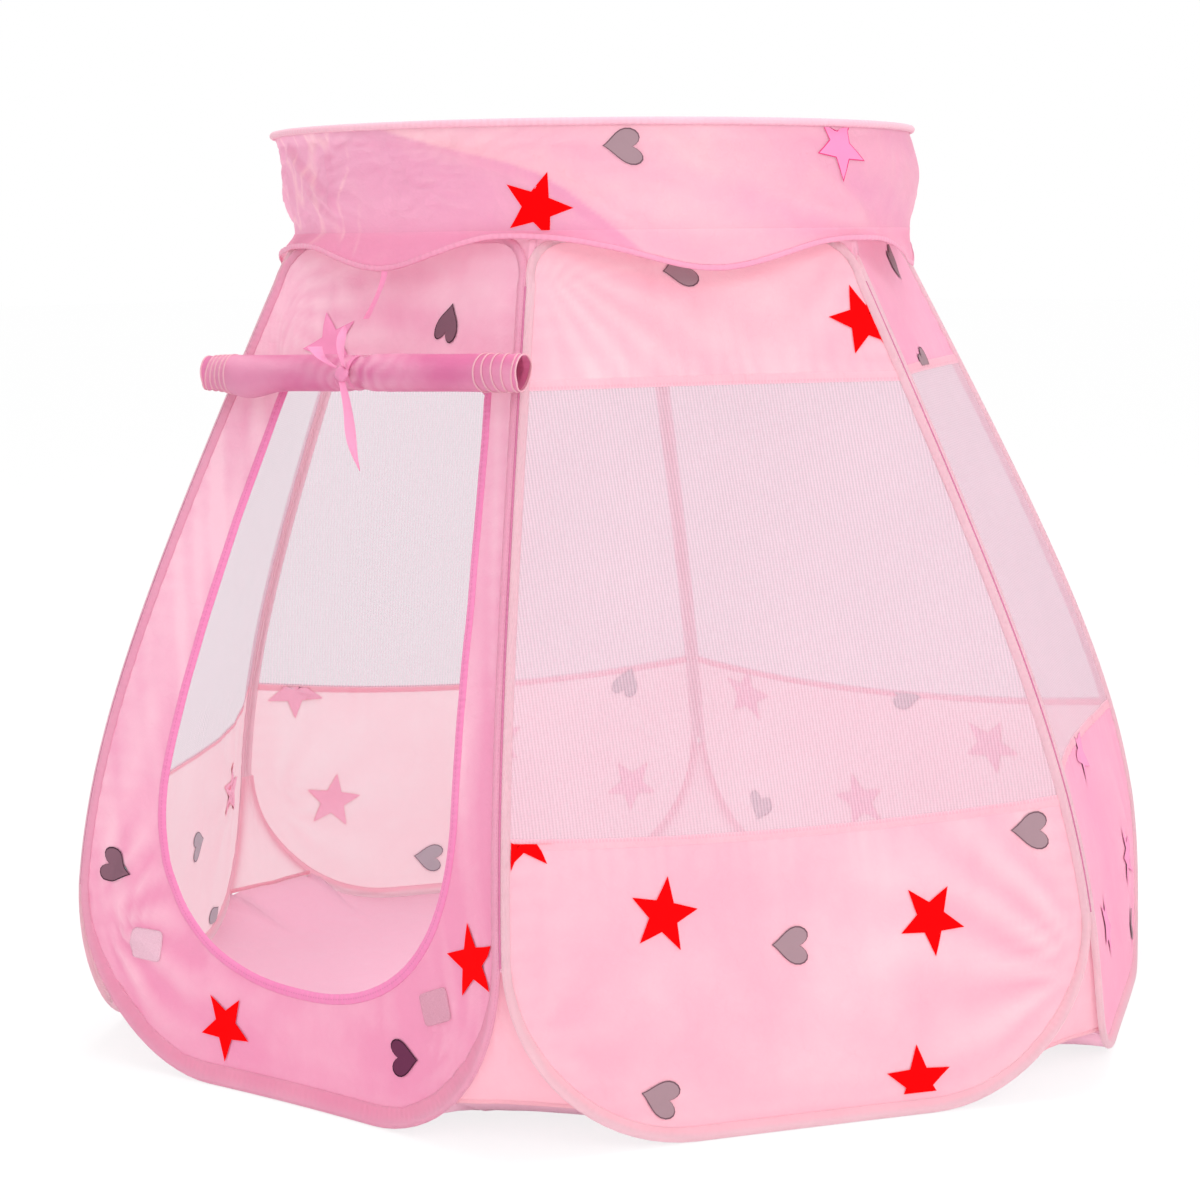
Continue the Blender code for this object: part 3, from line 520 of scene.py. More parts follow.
RED_INK = make_ink("red_ink", paint(255, 0, 4), paint(250, 0, 4))
GREY_INK = make_ink("grey_ink", paint(158, 130, 138), paint(104, 78, 88))
DARK_INK = make_ink("dark_ink", paint(104, 50, 78), paint(48, 20, 38))
BROWN_INK = make_ink("brown_ink", paint(128, 92, 106), paint(60, 34, 48))
FAINT_RED = make_ink("faint_red", paint(255, 212, 228), paint(252, 202, 220))
FAINT_GREY = make_ink("faint_grey", paint(188, 200, 200), paint(140, 140, 146))
BLUSH_INK = make_ink("blush_ink", paint(246, 140, 184), paint(214, 40, 110))
WORN_INK = make_ink("worn_ink", paint(238, 152, 190), paint(234, 142, 184))
print("two of the inks:", RED_INK.name, "and", GREY_INK.name)

# %% Bare steel
def make_steel(name):
    """Drawn spring wire: fine lines along it, with a trace of oil."""
    material, shader, place, own_map = start_material(name)
    marks = mottle(place, 300.0, 2.0)
    connect(shader, "Base Color", marks.tint(paint(178, 170, 174), paint(214, 206, 210)))
    connect(shader, "Roughness", marks * 0.2 + 0.25)
    shader.inputs["Metallic"].default_value = 1.0
    give_bump(shader, marks, 0.1, 0.0004)
    return material


STEEL = make_steel("spring_steel")
wires = [name for name in frame["nodes"] if name.endswith("_wire")]
for name in wires:
    node = frame["nodes"][name]
    node.data.materials.clear()
    node.data.materials.append(STEEL)
print("steel on", wires)

# %% [markdown]
# ## Where the cloth hangs
# Every wall lies between two seams that curve in towards the top, and bows in a little at its
# middle. The same formula places the wires in the frame, so the cloth meets them. Points are
# written as a distance across the wall and a height, which is also the map that the weave, the
# stitches and the prints use.

# %% The tent's own measures
SIDES = 6
DOOR_SIDE = 0
SIDE_TURN = 2 * math.pi / SIDES
SEAM_FOOT_RADIUS = 0.5987
SEAM_TOP_RADIUS = 0.3235
SEAM_TOP_HEIGHT = 0.818
SEAM_FOOT_SLOPE = math.radians(-1.4)
SEAM_FOOT_REACH = 0.251
SEAM_TOP_SLOPE = math.radians(27.5)
SEAM_TOP_REACH = 0.5225
LEAN = Vector((-0.0313, -0.0220, 0))
CORNER_TURN_SHARES = (-0.015, -0.028, -0.017, 0.013, 0.013, 0.051)
CORNER_REACH_SHARES = (-0.003, -0.016, 0.028, -0.001, 0.005, -0.003)
WALL_BOW = 0.024
SLEEVE = 0.0036
GAP = 0.0003
SHEET_INSET = SLEEVE + 0.0006
HOOP_CORNER, HOOP_TOP_CORNER, HOOP_TOP = 0.17, 0.045, 0.806
NET_LOW, NET_HIGH = 0.281, 0.668
LOW_BEND = SLEEVE + HOOP_CORNER
HIGH_BEND = HOOP_TOP - HOOP_TOP_CORNER
print("tent about", round(2 * SEAM_FOOT_RADIUS, 2), "m across, hoops", HOOP_TOP, "m high")

# %% Small helpers and the seam curve
def mix(low, high, share):
    """Value a share of the way between two others."""
    return low + (high - low) * share


def steps(low, high, count):
    """Evenly spaced values, both ends included."""
    return [mix(low, high, step / count) for step in range(count + 1)]


def smooth(value):
    """Zero to one with soft ends."""
    value = min(max(value, 0), 1)
    return value * value * (3 - 2 * value)


def seam_places(count):
    """Radii and heights along the seam curve."""
    share = np.linspace(0, 1, count)
    rest = 1 - share
    weights = (rest ** 3, 3 * rest ** 2 * share, 3 * rest * share ** 2, share ** 3)
    radii = (SEAM_FOOT_RADIUS, SEAM_FOOT_RADIUS - SEAM_FOOT_REACH * math.sin(SEAM_FOOT_SLOPE),
             SEAM_TOP_RADIUS + SEAM_TOP_REACH * math.sin(SEAM_TOP_SLOPE), SEAM_TOP_RADIUS)
    heights = (0, SEAM_FOOT_REACH * math.cos(SEAM_FOOT_SLOPE),
               SEAM_TOP_HEIGHT - SEAM_TOP_REACH * math.cos(SEAM_TOP_SLOPE), SEAM_TOP_HEIGHT)
    return (sum(w * r for w, r in zip(weights, radii)), sum(w * h for w, h in zip(weights, heights)))


SEAM_RADII, SEAM_HEIGHTS = seam_places(600)


def seam_radius(height):
    """Distance of a seam from the tent's axis."""
    return float(np.interp(height, SEAM_HEIGHTS, SEAM_RADII))


print("seams reach from", SEAM_FOOT_RADIUS, "to", SEAM_TOP_RADIUS, "m from the axis")

# %% Walls of the regular tent, and where the soft tent stands
def wall_half(height):
    """Half the width of a wall."""
    return seam_radius(height) / 2


def wall_bow(height):
    """How far the middle of a wall lies inside the line between its seams."""
    share = min(max(height / SEAM_TOP_HEIGHT, 0), 1)
    return WALL_BOW * math.sin(math.pi * share) ** 0.7


def seam_inset(height):
    """How far a hoop lies inside its seam."""
    return (SLEEVE + GAP) / (math.cos(SIDE_TURN / 2) - wall_bow(height) / wall_half(height))


def wall_depth(across, height):
    """Distance of a wall from the tent's axis, at a place beside the wall's middle."""
    share = across / wall_half(height)
    return seam_radius(height) * math.cos(SIDE_TURN / 2) - wall_bow(height) * (1 - share ** 2)


def corner_value(shares, azimuth):
    """Value of a corner table at an azimuth."""
    place = azimuth / SIDE_TURN - 0.5
    before = math.floor(place)
    blend = (1 - math.cos(math.pi * (place - before))) / 2
    return mix(shares[before % SIDES], shares[(before + 1) % SIDES], blend)


def stood(point):
    """Point of the regular tent, moved to where the soft tent stands."""
    azimuth = math.atan2(point.x, -point.y)
    turned = azimuth + SIDE_TURN * corner_value(CORNER_TURN_SHARES, azimuth)
    radius = point.xy.length * (1 + corner_value(CORNER_REACH_SHARES, azimuth))
    return level(turned) * radius + Vector((0, 0, point.z)) + LEAN * point.z


def sideways(azimuth):
    """Level direction along a wall, towards larger azimuths."""
    return Vector((math.cos(azimuth), math.sin(azimuth), 0))


def wall_point(side, across, height, proud=0.0):
    """Point on a wall, or that far outside it."""
    azimuth = side * SIDE_TURN
    return stood(level(azimuth) * (wall_depth(across, height) + proud) + sideways(azimuth) * across
                 + Vector((0, 0, height)))


print("wall is", round(2 * wall_half(0.28), 3), "m wide at the net's lower edge")

# %% [markdown]
# ## Folds
# A wall of thin cloth is never quite flat. Folds spread like a fan from where it is pulled,
# short puckers stand along the sewn edges, and the rest drifts softly. A cloth simulation
# would make similar folds, but not where the photograph has them, so a height is worked out
# for each point instead. It fades to nothing at the hoop, where the cloth is sewn down.

# %% Where the folds are
FOLD_FANS = {
    0: (((-0.13, 0.80), 14, 0.22, 0.0008), ((-0.19, 0.74), 22, 0.40, 0.0012),
        ((-0.27, 0.14), 14, 0.14, 0.0030), ((0.24, 0.08), 11, 0.08, 0.0014)),
    1: (((-0.17, 0.80), 24, 0.20, 0.0016), ((0.29, 0.12), 15, 0.15, 0.0030),
        ((0.17, 0.80), 13, 0.08, 0.0012), ((-0.28, 0.10), 9, 0.08, 0.0014)),
}
OTHER_FANS = (((-0.17, 0.80), 15, 0.10, 0.0018), ((0.26, 0.12), 11, 0.10, 0.0020),
              ((-0.26, 0.16), 12, 0.10, 0.0018))
PUCKER_PITCH, PUCKER = 0.021, 0.0007
GATHER_PITCH, GATHER = 0.019, 0.0011
DRIFT, FINE = 0.0022, 0.0007
DOOR_OFFSET, DOOR_LOW, DOOR_BELLY, DOOR_HIGH = 0.010, 0.109, 0.280, 0.664
DOOR_BELLY_HALF, DOOR_HIGH_HALF = 0.339 * SEAM_FOOT_RADIUS, 0.141


def hoop_half(height, inset):
    """Half width inside a hoop, round its corners too."""
    bend = min(max(height, LOW_BEND), HIGH_BEND)
    edge = wall_half(bend) - seam_inset(bend)
    if height < LOW_BEND:
        radius = HOOP_CORNER - inset
        return edge - HOOP_CORNER + math.sqrt(max(radius ** 2 - (LOW_BEND - height) ** 2, 0))
    if height > HIGH_BEND:
        radius = HOOP_TOP_CORNER - inset
        return edge - HOOP_TOP_CORNER + math.sqrt(max(radius ** 2 - (height - HIGH_BEND) ** 2, 0))
    return edge - inset


print("fans of folds:", sum(len(FOLD_FANS.get(side, OTHER_FANS)) for side in range(SIDES)))

# %% Height of the folds
def fan_height(across, height, fan):
    """Folds that spread from one point."""
    (at_across, at_height), count, reach, depth = fan
    aside, rise = across - at_across, height - at_height
    distance = math.hypot(aside, rise)
    swing = 3 * noise.noise(Vector((aside, rise, count)) * 9)
    ridges = math.sin(math.atan2(rise, aside) * count + swing)
    return depth * ridges * math.exp(-distance / reach) * min(distance / 0.04, 1)


def door_share(height):
    """How far up the straight part of the door's opening a height lies."""
    return (height - DOOR_BELLY) / (DOOR_HIGH - DOOR_BELLY)


def door_room(across, height):
    """Rough distance of a point from the door's opening."""
    if height < DOOR_BELLY:
        low = (DOOR_BELLY - height) / (DOOR_BELLY - DOOR_LOW)
        half = DOOR_BELLY_HALF * max(1 - low ** 2.35, 0) ** 0.43
    else:
        half = mix(DOOR_BELLY_HALF, DOOR_HIGH_HALF, min(door_share(height), 1) ** 1.3)
    return max(abs(across - DOOR_OFFSET) - half, DOOR_LOW - height, height - DOOR_HIGH, 0)


def gathers(side, across, height):
    """Small upright folds where the printed cloth is sewn to the net."""
    if side == 0 or NET_LOW < height < NET_HIGH:
        return 0.0
    away = height - NET_HIGH if height >= NET_HIGH else NET_LOW - height
    swing = noise.noise(Vector((across * 25, height * 6, side * 2.3)))
    lean = 30 * away * noise.noise(Vector((across * 4, side, 0)))
    ridges = math.sin(2 * math.pi * across / GATHER_PITCH + 5 * swing + lean)
    return GATHER * ridges * math.exp(-away / 0.035) * (0.6 + swing)


def relief(side, across, height):
    """How far the cloth stands out of the smooth wall."""
    room = min(hoop_half(height, 0) - abs(across), height - SLEEVE, HOOP_TOP - height)
    calm = smooth(room / 0.05)
    folds = sum(fan_height(across, height, fan) for fan in FOLD_FANS.get(side, OTHER_FANS))
    folds *= mix(0.25, 1, smooth(door_room(across, height) / 0.035)) if side == 0 else 1
    drift = DRIFT * noise.noise(Vector((across * 8, height * 6, side * 3.7)))
    fine = FINE * noise.noise(Vector((across * 30, height * 22, side * 5.1)))
    pucker = PUCKER * math.sin(2 * math.pi * height / PUCKER_PITCH + side) * math.exp(-room / 0.02)
    return (folds + drift + fine + gathers(side, across, height)) * calm + pucker * smooth(room / 0.008)


def skin(side, across, height, lift=0.0):
    """Point on the folded cloth."""
    return wall_point(side, across, height, relief(side, across, height) + lift)


print("relief at a wall's middle:", round(relief(1, 0, 0.2) * 1000, 2), "mm")

# %% [markdown]
# ## Building blocks
# Two helpers make most of the pieces. One lays a grid of faces over rows of points, as for a
# panel. The other sweeps a small outline along a path, as for a tube or a tape. Both write the
# map named cloth, in metres, and give the piece to the body that it moves with.

# %% Grids
def put_map(mesh, places):
    """Write the cloth's own map, one place for each face corner."""
    layer = mesh.uv_layers.new(name="cloth")
    for corner, place in enumerate(places):
        layer.data[corner].uv = place


def finish_piece(name, points, faces, places, material, body, nodes=(), folds=()):
    """Turn points and faces into a piece that rides on a body; folds tint the cloth."""
    mesh = bpy.data.meshes.new(name)
    mesh.from_pydata([tuple(point) for point in points], [], faces)
    put_map(mesh, places)
    mesh.materials.append(material)
    mesh.shade_smooth()
    if folds:
        mesh.attributes.new("fold", 'FLOAT', 'POINT').data.foreach_set("value", folds)
    piece = bpy.data.objects.new(name, mesh)
    bpy.context.scene.collection.objects.link(piece)
    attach(piece, body)
    if nodes:
        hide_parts(*nodes)
    return piece


def grid_piece(name, rows, places, material, body, nodes=(), around=None, folds=()):
    """A sheet over rows of points; around closes each row, and is its length in metres."""
    columns = len(rows[0])
    points = [point for row in rows for point in row]
    faces, corners = [], []
    for row in range(len(rows) - 1):
        for column in range(columns if around else columns - 1):
            following = (column + 1) % columns
            ahead = Vector((around, 0)) if following == 0 else Vector((0, 0))
            faces.append((row * columns + column, row * columns + following,
                          (row + 1) * columns + following, (row + 1) * columns + column))
            corners += [Vector(places[row][column]), Vector(places[row][following]) + ahead,
                        Vector(places[row + 1][following]) + ahead, Vector(places[row + 1][column])]
    return finish_piece(name, points, faces, corners, material, body, nodes, folds)


CLOSED = 1e-9  # closes each row of a grid, and adds no length to its map
print("a grid is laid row by row")

# %% Sweeps
def oval(half_wide, half_thick, count):
    """Points round an oval, for the outline of a tube or a tape."""
    return [(half_wide * math.cos(turn), half_thick * math.sin(turn))
            for turn in steps(0, 2 * math.pi, count)[:-1]]


def sweep_piece(name, stations, section, material, body, nodes=(), closed=True):
    """An outline, or one for each station, swept along stations of a centre and two directions."""
    rows, places, run = [], [], 0.0
    outlines = section if isinstance(section[0], list) else [section] * len(stations)
    size = len(outlines[0])
    for index, (centre, toward, square) in enumerate(stations):
        if index:
            run += (centre - stations[index - 1][0]).length
        rows.append([centre + toward * a + square * b for a, b in outlines[index]])
        places.append([(run, corner / size) for corner in range(size)])
    points = [point for row in rows for point in row]
    faces, corners = [], []
    count = len(rows)
    total = run + (stations[0][0] - stations[-1][0]).length
    for row in range(count if closed else count - 1):
        after = (row + 1) % count
        far = total if after == 0 else places[after][0][0]
        for corner in range(size):
            turned = (corner + 1) % size
            faces.append((row * size + corner, row * size + turned,
                          after * size + turned, after * size + corner))
            low, high = corner / size, (corner + 1) / size
            near = places[row][0][0]
            corners += [(near, low), (near, high), (far, high), (far, low)]
    return finish_piece(name, points, faces, corners, material, body, nodes)


def cloth_area(piece):
    """Area of a piece in square metres."""
    return sum(face.area for face in piece.data.polygons)


def say_cut(piece, width, length):
    """Declare a sheet by the size it was cut to."""
    whole = width * length
    area = round(min(max(cloth_area(piece), 0.31 * whole), 0.999 * whole), 6)
    return area


print("building blocks ready")

# %% [markdown]
# ## The five plain walls
# Each wall is three cloths sewn edge to edge: printed cloth at the foot, net in the middle and
# printed cloth at the top. On the side left of the door the lower edge of the net is cut deep
# and round. The rows of points follow the hoop's outline, so the rounded corners come for free.

# %% Walls
NET_SAG, WINDOW_DIP = 0.015, 0.040
DIP_LOW, DIP_HIGH = 0.20, 0.43
COLUMNS = 90
BEND_ROWS, BASE_ROWS, NET_ROWS, BAND_ROWS, TOP_ROWS = 24, 20, 26, 18, 8


def edge_dip(side, share, height):
    """How far the rows near the net's lower edge dip."""
    dip, power = {5: (WINDOW_DIP, 6), 2: (0.0, 2)}.get(side, (NET_SAG, 2))
    if height <= NET_LOW:
        rows = (height - DIP_LOW) / (NET_LOW - DIP_LOW)
    else:
        rows = (DIP_HIGH - height) / (DIP_HIGH - NET_LOW)
    return dip * min(max(rows, 0), 1) * (1 - abs(share) ** power)


def wall_line(side, height):
    """One row of places across a wall, dipped near the net's lower edge."""
    half = hoop_half(height, SHEET_INSET)
    return [(half * share, height - edge_dip(side, share, height)) for share in steps(-1, 1, COLUMNS)]


def wall_rows(side, heights):
    """Points and map places of a wall's rows."""
    places = [wall_line(side, height) for height in heights]
    return [[skin(side, across, rise) for across, rise in line] for line in places], places


def bend_heights(count):
    """Heights round the lower corner of a hoop."""
    return [LOW_BEND - (HOOP_CORNER - SHEET_INSET) * math.cos(turn)
            for turn in steps(0, math.pi / 2, count)]


def top_heights(count):
    """Heights round the upper corner of a hoop."""
    return [HIGH_BEND + (HOOP_TOP_CORNER - SHEET_INSET) * math.sin(turn)
            for turn in steps(0, math.pi / 2, count)]


WALL_PARTS = (("base", bend_heights(BEND_ROWS) + steps(LOW_BEND, NET_LOW - GAP, BASE_ROWS)[1:]),
              ("net", steps(NET_LOW + GAP, NET_HIGH - GAP, NET_ROWS)),
              ("band", steps(NET_HIGH + GAP, HIGH_BEND, BAND_ROWS) + top_heights(TOP_ROWS)[1:]))
FOLD_FULL = 0.0035
PANEL_CLOTH = {1: WALL_CLOTH, 2: SHADY_CLOTH, 3: BACK_CLOTH, 4: BACK_CLOTH, 5: BACK_CLOTH}
walls = {}
for side in range(1, SIDES):
    for part, heights in WALL_PARTS:
        name = "wall_%d_%s" % (side, part)
        rows, places = wall_rows(side, heights)
        folds = [relief(side, *place) / FOLD_FULL for line in places for place in line]
        material = (NET if side < 3 else BACK_NET) if part == "net" else PANEL_CLOTH[side]
        walls[name] = grid_piece("cloth_" + name, rows, places, material, "tent", [name], folds=folds)
        width = 2 * max(hoop_half(height, SHEET_INSET) for height in heights)
        length = (heights[-1] - heights[0]) * 1.08
        say_cut(walls[name], round(width + 0.01, 3), round(length + 0.01, 3))
print("walls:", len(walls), "cloths, net area",
      round(sum(cloth_area(walls[n]) for n in walls if n.endswith("net")), 2), "m2")

# %% Tapes along the net
TAPE_WIDTH, TAPE_CUT = 0.0075, 0.0105
for side in range(1, SIDES):
    for word, edge, way in (("low", NET_LOW, -1), ("high", NET_HIGH, 1)):
        rows, places = [], []
        for share in (0.25, -0.1, -0.8, -1.0):
            line = wall_line(side, edge - way * share * TAPE_WIDTH)
            lift = 0.0008 if share > -1 else 0.0003
            rows.append([skin(side, across, rise, lift) for across, rise in line])
            places.append([(across, 0.25 + 0.1 * share) for across, rise in line])
        tape = grid_piece("tape_net_%s_%d" % (word, side), rows, places, EDGE_TAPE, "tent")
        say_cut(tape, round(2 * line[-1][0] + 0.02, 3), TAPE_CUT)
print("tapes:", 2 * (SIDES - 1))

# %% [markdown]
# ## Hoop sleeves
# Each wire runs in a sleeve: a folded strip of cloth whose flat edge is stitched down over the
# wall. Its outline is a round back with two thin flaps, swept once round the hoop. The flaps
# are wider at the foot, where the photograph shows a broad hem. Between each two hoops runs a
# sewn line, a fine cord of its own, dark at the front and pale at the back.

# %% Path of a hoop
FOOT_STEPS, CORNER_STEPS, SIDE_STEPS, TOP_CORNER_STEPS, TOP_STEPS = 8, 18, 70, 6, 10


def hoop_half_path(inset):
    """From the middle of the foot line, up one side, to the middle of the top line."""
    low = [hoop_corner(turn, inset) for turn in steps(0, math.pi / 2, CORNER_STEPS)]
    foot_half, foot = low[0]
    path = [(foot_half * share, foot) for share in steps(0, 1, FOOT_STEPS)[:-1]] + low
    path += [(hoop_half(height, inset), height) for height in steps(LOW_BEND, HIGH_BEND, SIDE_STEPS)[1:]]
    edge = hoop_half(HIGH_BEND, 0)
    radius = HOOP_TOP_CORNER - inset
    high = [(edge - HOOP_TOP_CORNER + radius * math.cos(turn), HIGH_BEND + radius * math.sin(turn))
            for turn in steps(0, math.pi / 2, TOP_CORNER_STEPS)[1:]]
    top_half, top = high[-1]
    return path + high + [(top_half * share, top) for share in steps(1, 0, TOP_STEPS)[1:]]


def hoop_corner(turn, inset):
    """Place round the lower corner of a hoop."""
    edge = hoop_half(LOW_BEND, 0)
    radius = HOOP_CORNER - inset
    return edge - HOOP_CORNER + radius * math.sin(turn), LOW_BEND - radius * math.cos(turn)


def whole_path(half):
    """Both halves of a path, closed."""
    return half + [(-across, height) for across, height in reversed(half[1:-1])]


def loop_stations(side, outer, inner, lift=0.0):
    """Centres and directions of a sweep round a wall."""
    centres = [skin(side, *place, lift) for place in outer]
    aims = [skin(side, *place, lift) for place in inner]
    stations = []
    for index, centre in enumerate(centres):
        run = (centres[(index + 1) % len(centres)] - centres[index - 1]).normalized()
        toward = aims[index] - centre
        toward = (toward - run * toward.dot(run)).normalized()
        stations.append((centre, toward, run.cross(toward)))
    return stations


def sleeve_outline(reach):
    """Round back and two flaps of a given reach."""
    back = [(SLEEVE * math.cos(turn), SLEEVE * math.sin(turn))
            for turn in steps(math.radians(50), math.radians(310), 9)]
    return back + [(reach * 0.8, -0.0013), (reach, -0.0009), (reach, 0.0009), (reach * 0.8, 0.0013)]


print("half a hoop has", len(hoop_half_path(0)), "stations")

# %% Sleeves
SIDE_REACH, FOOT_REACH, DOOR_FOOT_REACH = 0.0052, 0.0100, 0.0165


def sleeve_reach(side, height):
    """How far the stitched flaps reach over the wall, more at the foot."""
    return mix(SIDE_REACH, FOOT_REACH if side else DOOR_FOOT_REACH, smooth((0.16 - height) / 0.12))


SLEEVE_TAPE = {0: DOOR_TAPE, 1: PALE_TAPE, 2: PALE_TAPE}
sleeves = []
for side in range(SIDES):
    path = whole_path(hoop_half_path(0))
    stations = loop_stations(side, path, whole_path(hoop_half_path(0.006)))
    outlines = [sleeve_outline(sleeve_reach(side, height)) for _, height in path]
    sleeves.append(sweep_piece("sleeve_%d" % side, stations, outlines,
                               SLEEVE_TAPE.get(side, BACK_TAPE), "tent", ["hoop_%d_sleeve" % side]))
print("sleeves:", len(sleeves))

# %% Sewn lines between the hoops
SEAM_LINE, SEAM_SUNK, SEAM_STEPS = 0.0010, 0.0006, 60
BACK_CORNERS = (2, 3, 4)
for corner in range(SIDES):
    azimuth = (corner + 0.5) * SIDE_TURN
    outward, along = level(azimuth), sideways(azimuth)
    stations = [(stood(outward * (seam_radius(height) - SEAM_SUNK) + UP * height), outward, along)
                for height in steps(LOW_BEND, HIGH_BEND, SEAM_STEPS)]
    sweep_piece("seam_%d" % corner, stations, oval(SEAM_LINE, SEAM_LINE, 6),
                EDGE_TAPE if corner in BACK_CORNERS else SEAM_TAPE, "tent", closed=False)
print("sewn lines:", SIDES)

# %% [markdown]
# ## The door wall
# The door wall is one cloth with a long opening, rounded below. It is a ring of faces between
# the hoop and the opening, with the same number of places on both. A binding tape covers the
# cut edge, and two hook-and-loop pads wait beside it for the closed flap. The cloth's long pale
# streaks, and its deeper colour low down and to the right, are added to what its folds give.

# %% Door opening
BINDING_WIDTH, BINDING_THICK = 0.010, 0.0028
DOOR_BEND = 2.35


def door_half_path(grown):
    """Half of the opening, in step with half of a hoop."""
    path = []
    for turn in steps(0, math.pi / 2, FOOT_STEPS + CORNER_STEPS):
        bulge = 2 / DOOR_BEND
        drop = (DOOR_BELLY - DOOR_LOW + grown) * max(math.cos(turn), 0) ** bulge
        path.append(((DOOR_BELLY_HALF + grown) * math.sin(turn) ** bulge, DOOR_BELLY - drop))
    for height in steps(DOOR_BELLY, DOOR_HIGH, SIDE_STEPS)[1:]:
        path.append((mix(DOOR_BELLY_HALF, DOOR_HIGH_HALF, door_share(height) ** 1.3) + grown, height))
    half = path[-1][0]
    path += [(half * share, DOOR_HIGH + grown)
             for share in steps(1, 0, TOP_CORNER_STEPS + TOP_STEPS)[1:]]
    return path


def door_path(grown):
    """The whole opening, moved a little to one side."""
    return [(across + DOOR_OFFSET, height) for across, height in whole_path(door_half_path(grown))]


def door_tint(across, height):
    """Long pale streaks beside the opening, and cloth that looks deeper low down and to the right."""
    place = Vector((across * 55 + height * 16, height * 2.2, 7.0))
    fade = smooth(height / 0.3) * (1 - 0.75 * smooth((height - 0.62) / 0.08))
    streaks = 0.95 * noise.noise(place) * fade
    return streaks + mix(-0.36, 0.46, smooth(height / 0.75)) - 1.1 * across * smooth(height / 0.3)


print("opening from", DOOR_LOW, "to", DOOR_HIGH, "m high")

# %% Cloth and binding of the door side
DOOR_ROWS = 24
outer = whole_path(hoop_half_path(SHEET_INSET))
edge = door_path(BINDING_WIDTH / 2)
rows, places = [], []
for share in steps(0, 1, DOOR_ROWS):
    line = [(mix(a[0], b[0], share), mix(a[1], b[1], share)) for a, b in zip(outer, edge)]
    rows.append([skin(DOOR_SIDE, *place) for place in line])
    places.append(line)
folds = [relief(DOOR_SIDE, *place) / FOLD_FULL + door_tint(*place) for line in places for place in line]
door_wall = grid_piece("cloth_door_wall", rows, places, DOOR_CLOTH, "tent", ["door_wall"], around=CLOSED,
                       folds=folds)
say_cut(door_wall, 0.62, 0.86)
stations = loop_stations(DOOR_SIDE, edge, door_path(0))
sweep_piece("tape_door_binding", stations, oval(BINDING_WIDTH / 2, BINDING_THICK / 2, 12), BINDING,
            "tent", ["door_binding"])
print("door opening", round(2 * DOOR_BELLY_HALF, 3), "m wide, cloth area",
      round(cloth_area(door_wall), 3), "m2")

# %% Pads beside the door
PAD_WIDTH, PAD_HEIGHT, PAD_THICK, PAD_CROWN = 0.040, 0.030, 0.0015, 0.0019
PAD_PLACE = (DOOR_BELLY_HALF + 0.005, 0.124)
for word, way, slant in (("left", -1, 0.0), ("right", 1, 0.35)):
    rows, places = [], []
    for ring, lift in ((1.0, 0.0005), (1.0, PAD_THICK), (0.9, PAD_CROWN), (0.0, PAD_CROWN)):
        row, line = [], []
        for turn in steps(0, 2 * math.pi, 32)[:-1]:
            a = math.copysign(abs(math.cos(turn)) ** 0.25, math.cos(turn)) * ring * PAD_WIDTH / 2
            b = math.copysign(abs(math.sin(turn)) ** 0.25, math.sin(turn)) * ring * PAD_HEIGHT / 2
            aside = a * math.cos(slant) - b * math.sin(slant)
            rise = a * math.sin(slant) + b * math.cos(slant)
            row.append(skin(DOOR_SIDE, way * PAD_PLACE[0] + aside, PAD_PLACE[1] + rise, lift))
            line.append((a, b))
        rows.append(row)
        places.append(line)
    grid_piece("pad_" + word, rows, places, PADS[word], "tent", ["door_patch_" + word], around=CLOSED)
print("pads", PAD_WIDTH, "x", PAD_HEIGHT)

# %% [markdown]
# ## Gussets and floor
# Between the rounded lower corners of two hoops hangs a small triangle of cloth, and the floor
# sheet is sewn to the hoops' feet and to the gussets' lower edges, which a tape binds. Its
# middle lies flat and its corners lift, so it is a set of rings from the middle out, the last
# ones raised.

# %% Gussets
GUSSET_LOW, GUSSET_TOP, GUSSET_BACK, GUSSET_TUCK = 0.040, 0.168, 0.0060, 0.0050
GUSSET_TAPE = (0.0012, 0.0026)
GUSSET_COLUMNS, GUSSET_ROWS = 14, 16


def gusset_row(corner, height, count):
    """Row across a gusset, sagging in a little at its middle."""
    across = hoop_half(height, 0)
    depth = wall_depth(across, height)
    half_turn = SIDE_TURN / 2
    radial = depth * math.cos(half_turn) + across * math.sin(half_turn) - GUSSET_BACK
    half = depth * math.sin(half_turn) - across * math.cos(half_turn) + GUSSET_TUCK
    azimuth = (corner + 0.5) * SIDE_TURN
    row = []
    for way in steps(-1, 1, count):
        sag = 0.004 * (1 - way ** 2) * (half / 0.06) + 0.001 * math.sin(9 * way + height * 90 + corner)
        row.append(stood(level(azimuth) * (radial - sag * (1 - abs(way))) + sideways(azimuth) * half * way
                         + Vector((0, 0, height))))
    return row, [(half * way, height) for way in steps(-1, 1, count)]


for corner in range(SIDES):
    made = [gusset_row(corner, height, GUSSET_COLUMNS)
            for height in steps(GUSSET_LOW, GUSSET_TOP, GUSSET_ROWS)]
    gusset = grid_piece("cloth_gusset_%d" % corner, [row for row, _ in made], [line for _, line in made],
                        WALL_CLOTH if corner in (0, 1, 5) else BACK_CLOTH, "tent", ["gusset_%d" % corner])
    say_cut(gusset, 0.14, 0.135)
    low = gusset_row(corner, GUSSET_LOW + 0.002, GUSSET_COLUMNS)[0]
    outward = level((corner + 0.5) * SIDE_TURN)
    sweep_piece("tape_gusset_%d" % corner, [(point, outward, UP) for point in low],
                oval(*GUSSET_TAPE, 8), EDGE_TAPE, "tent", closed=False)
print("gussets:", SIDES)

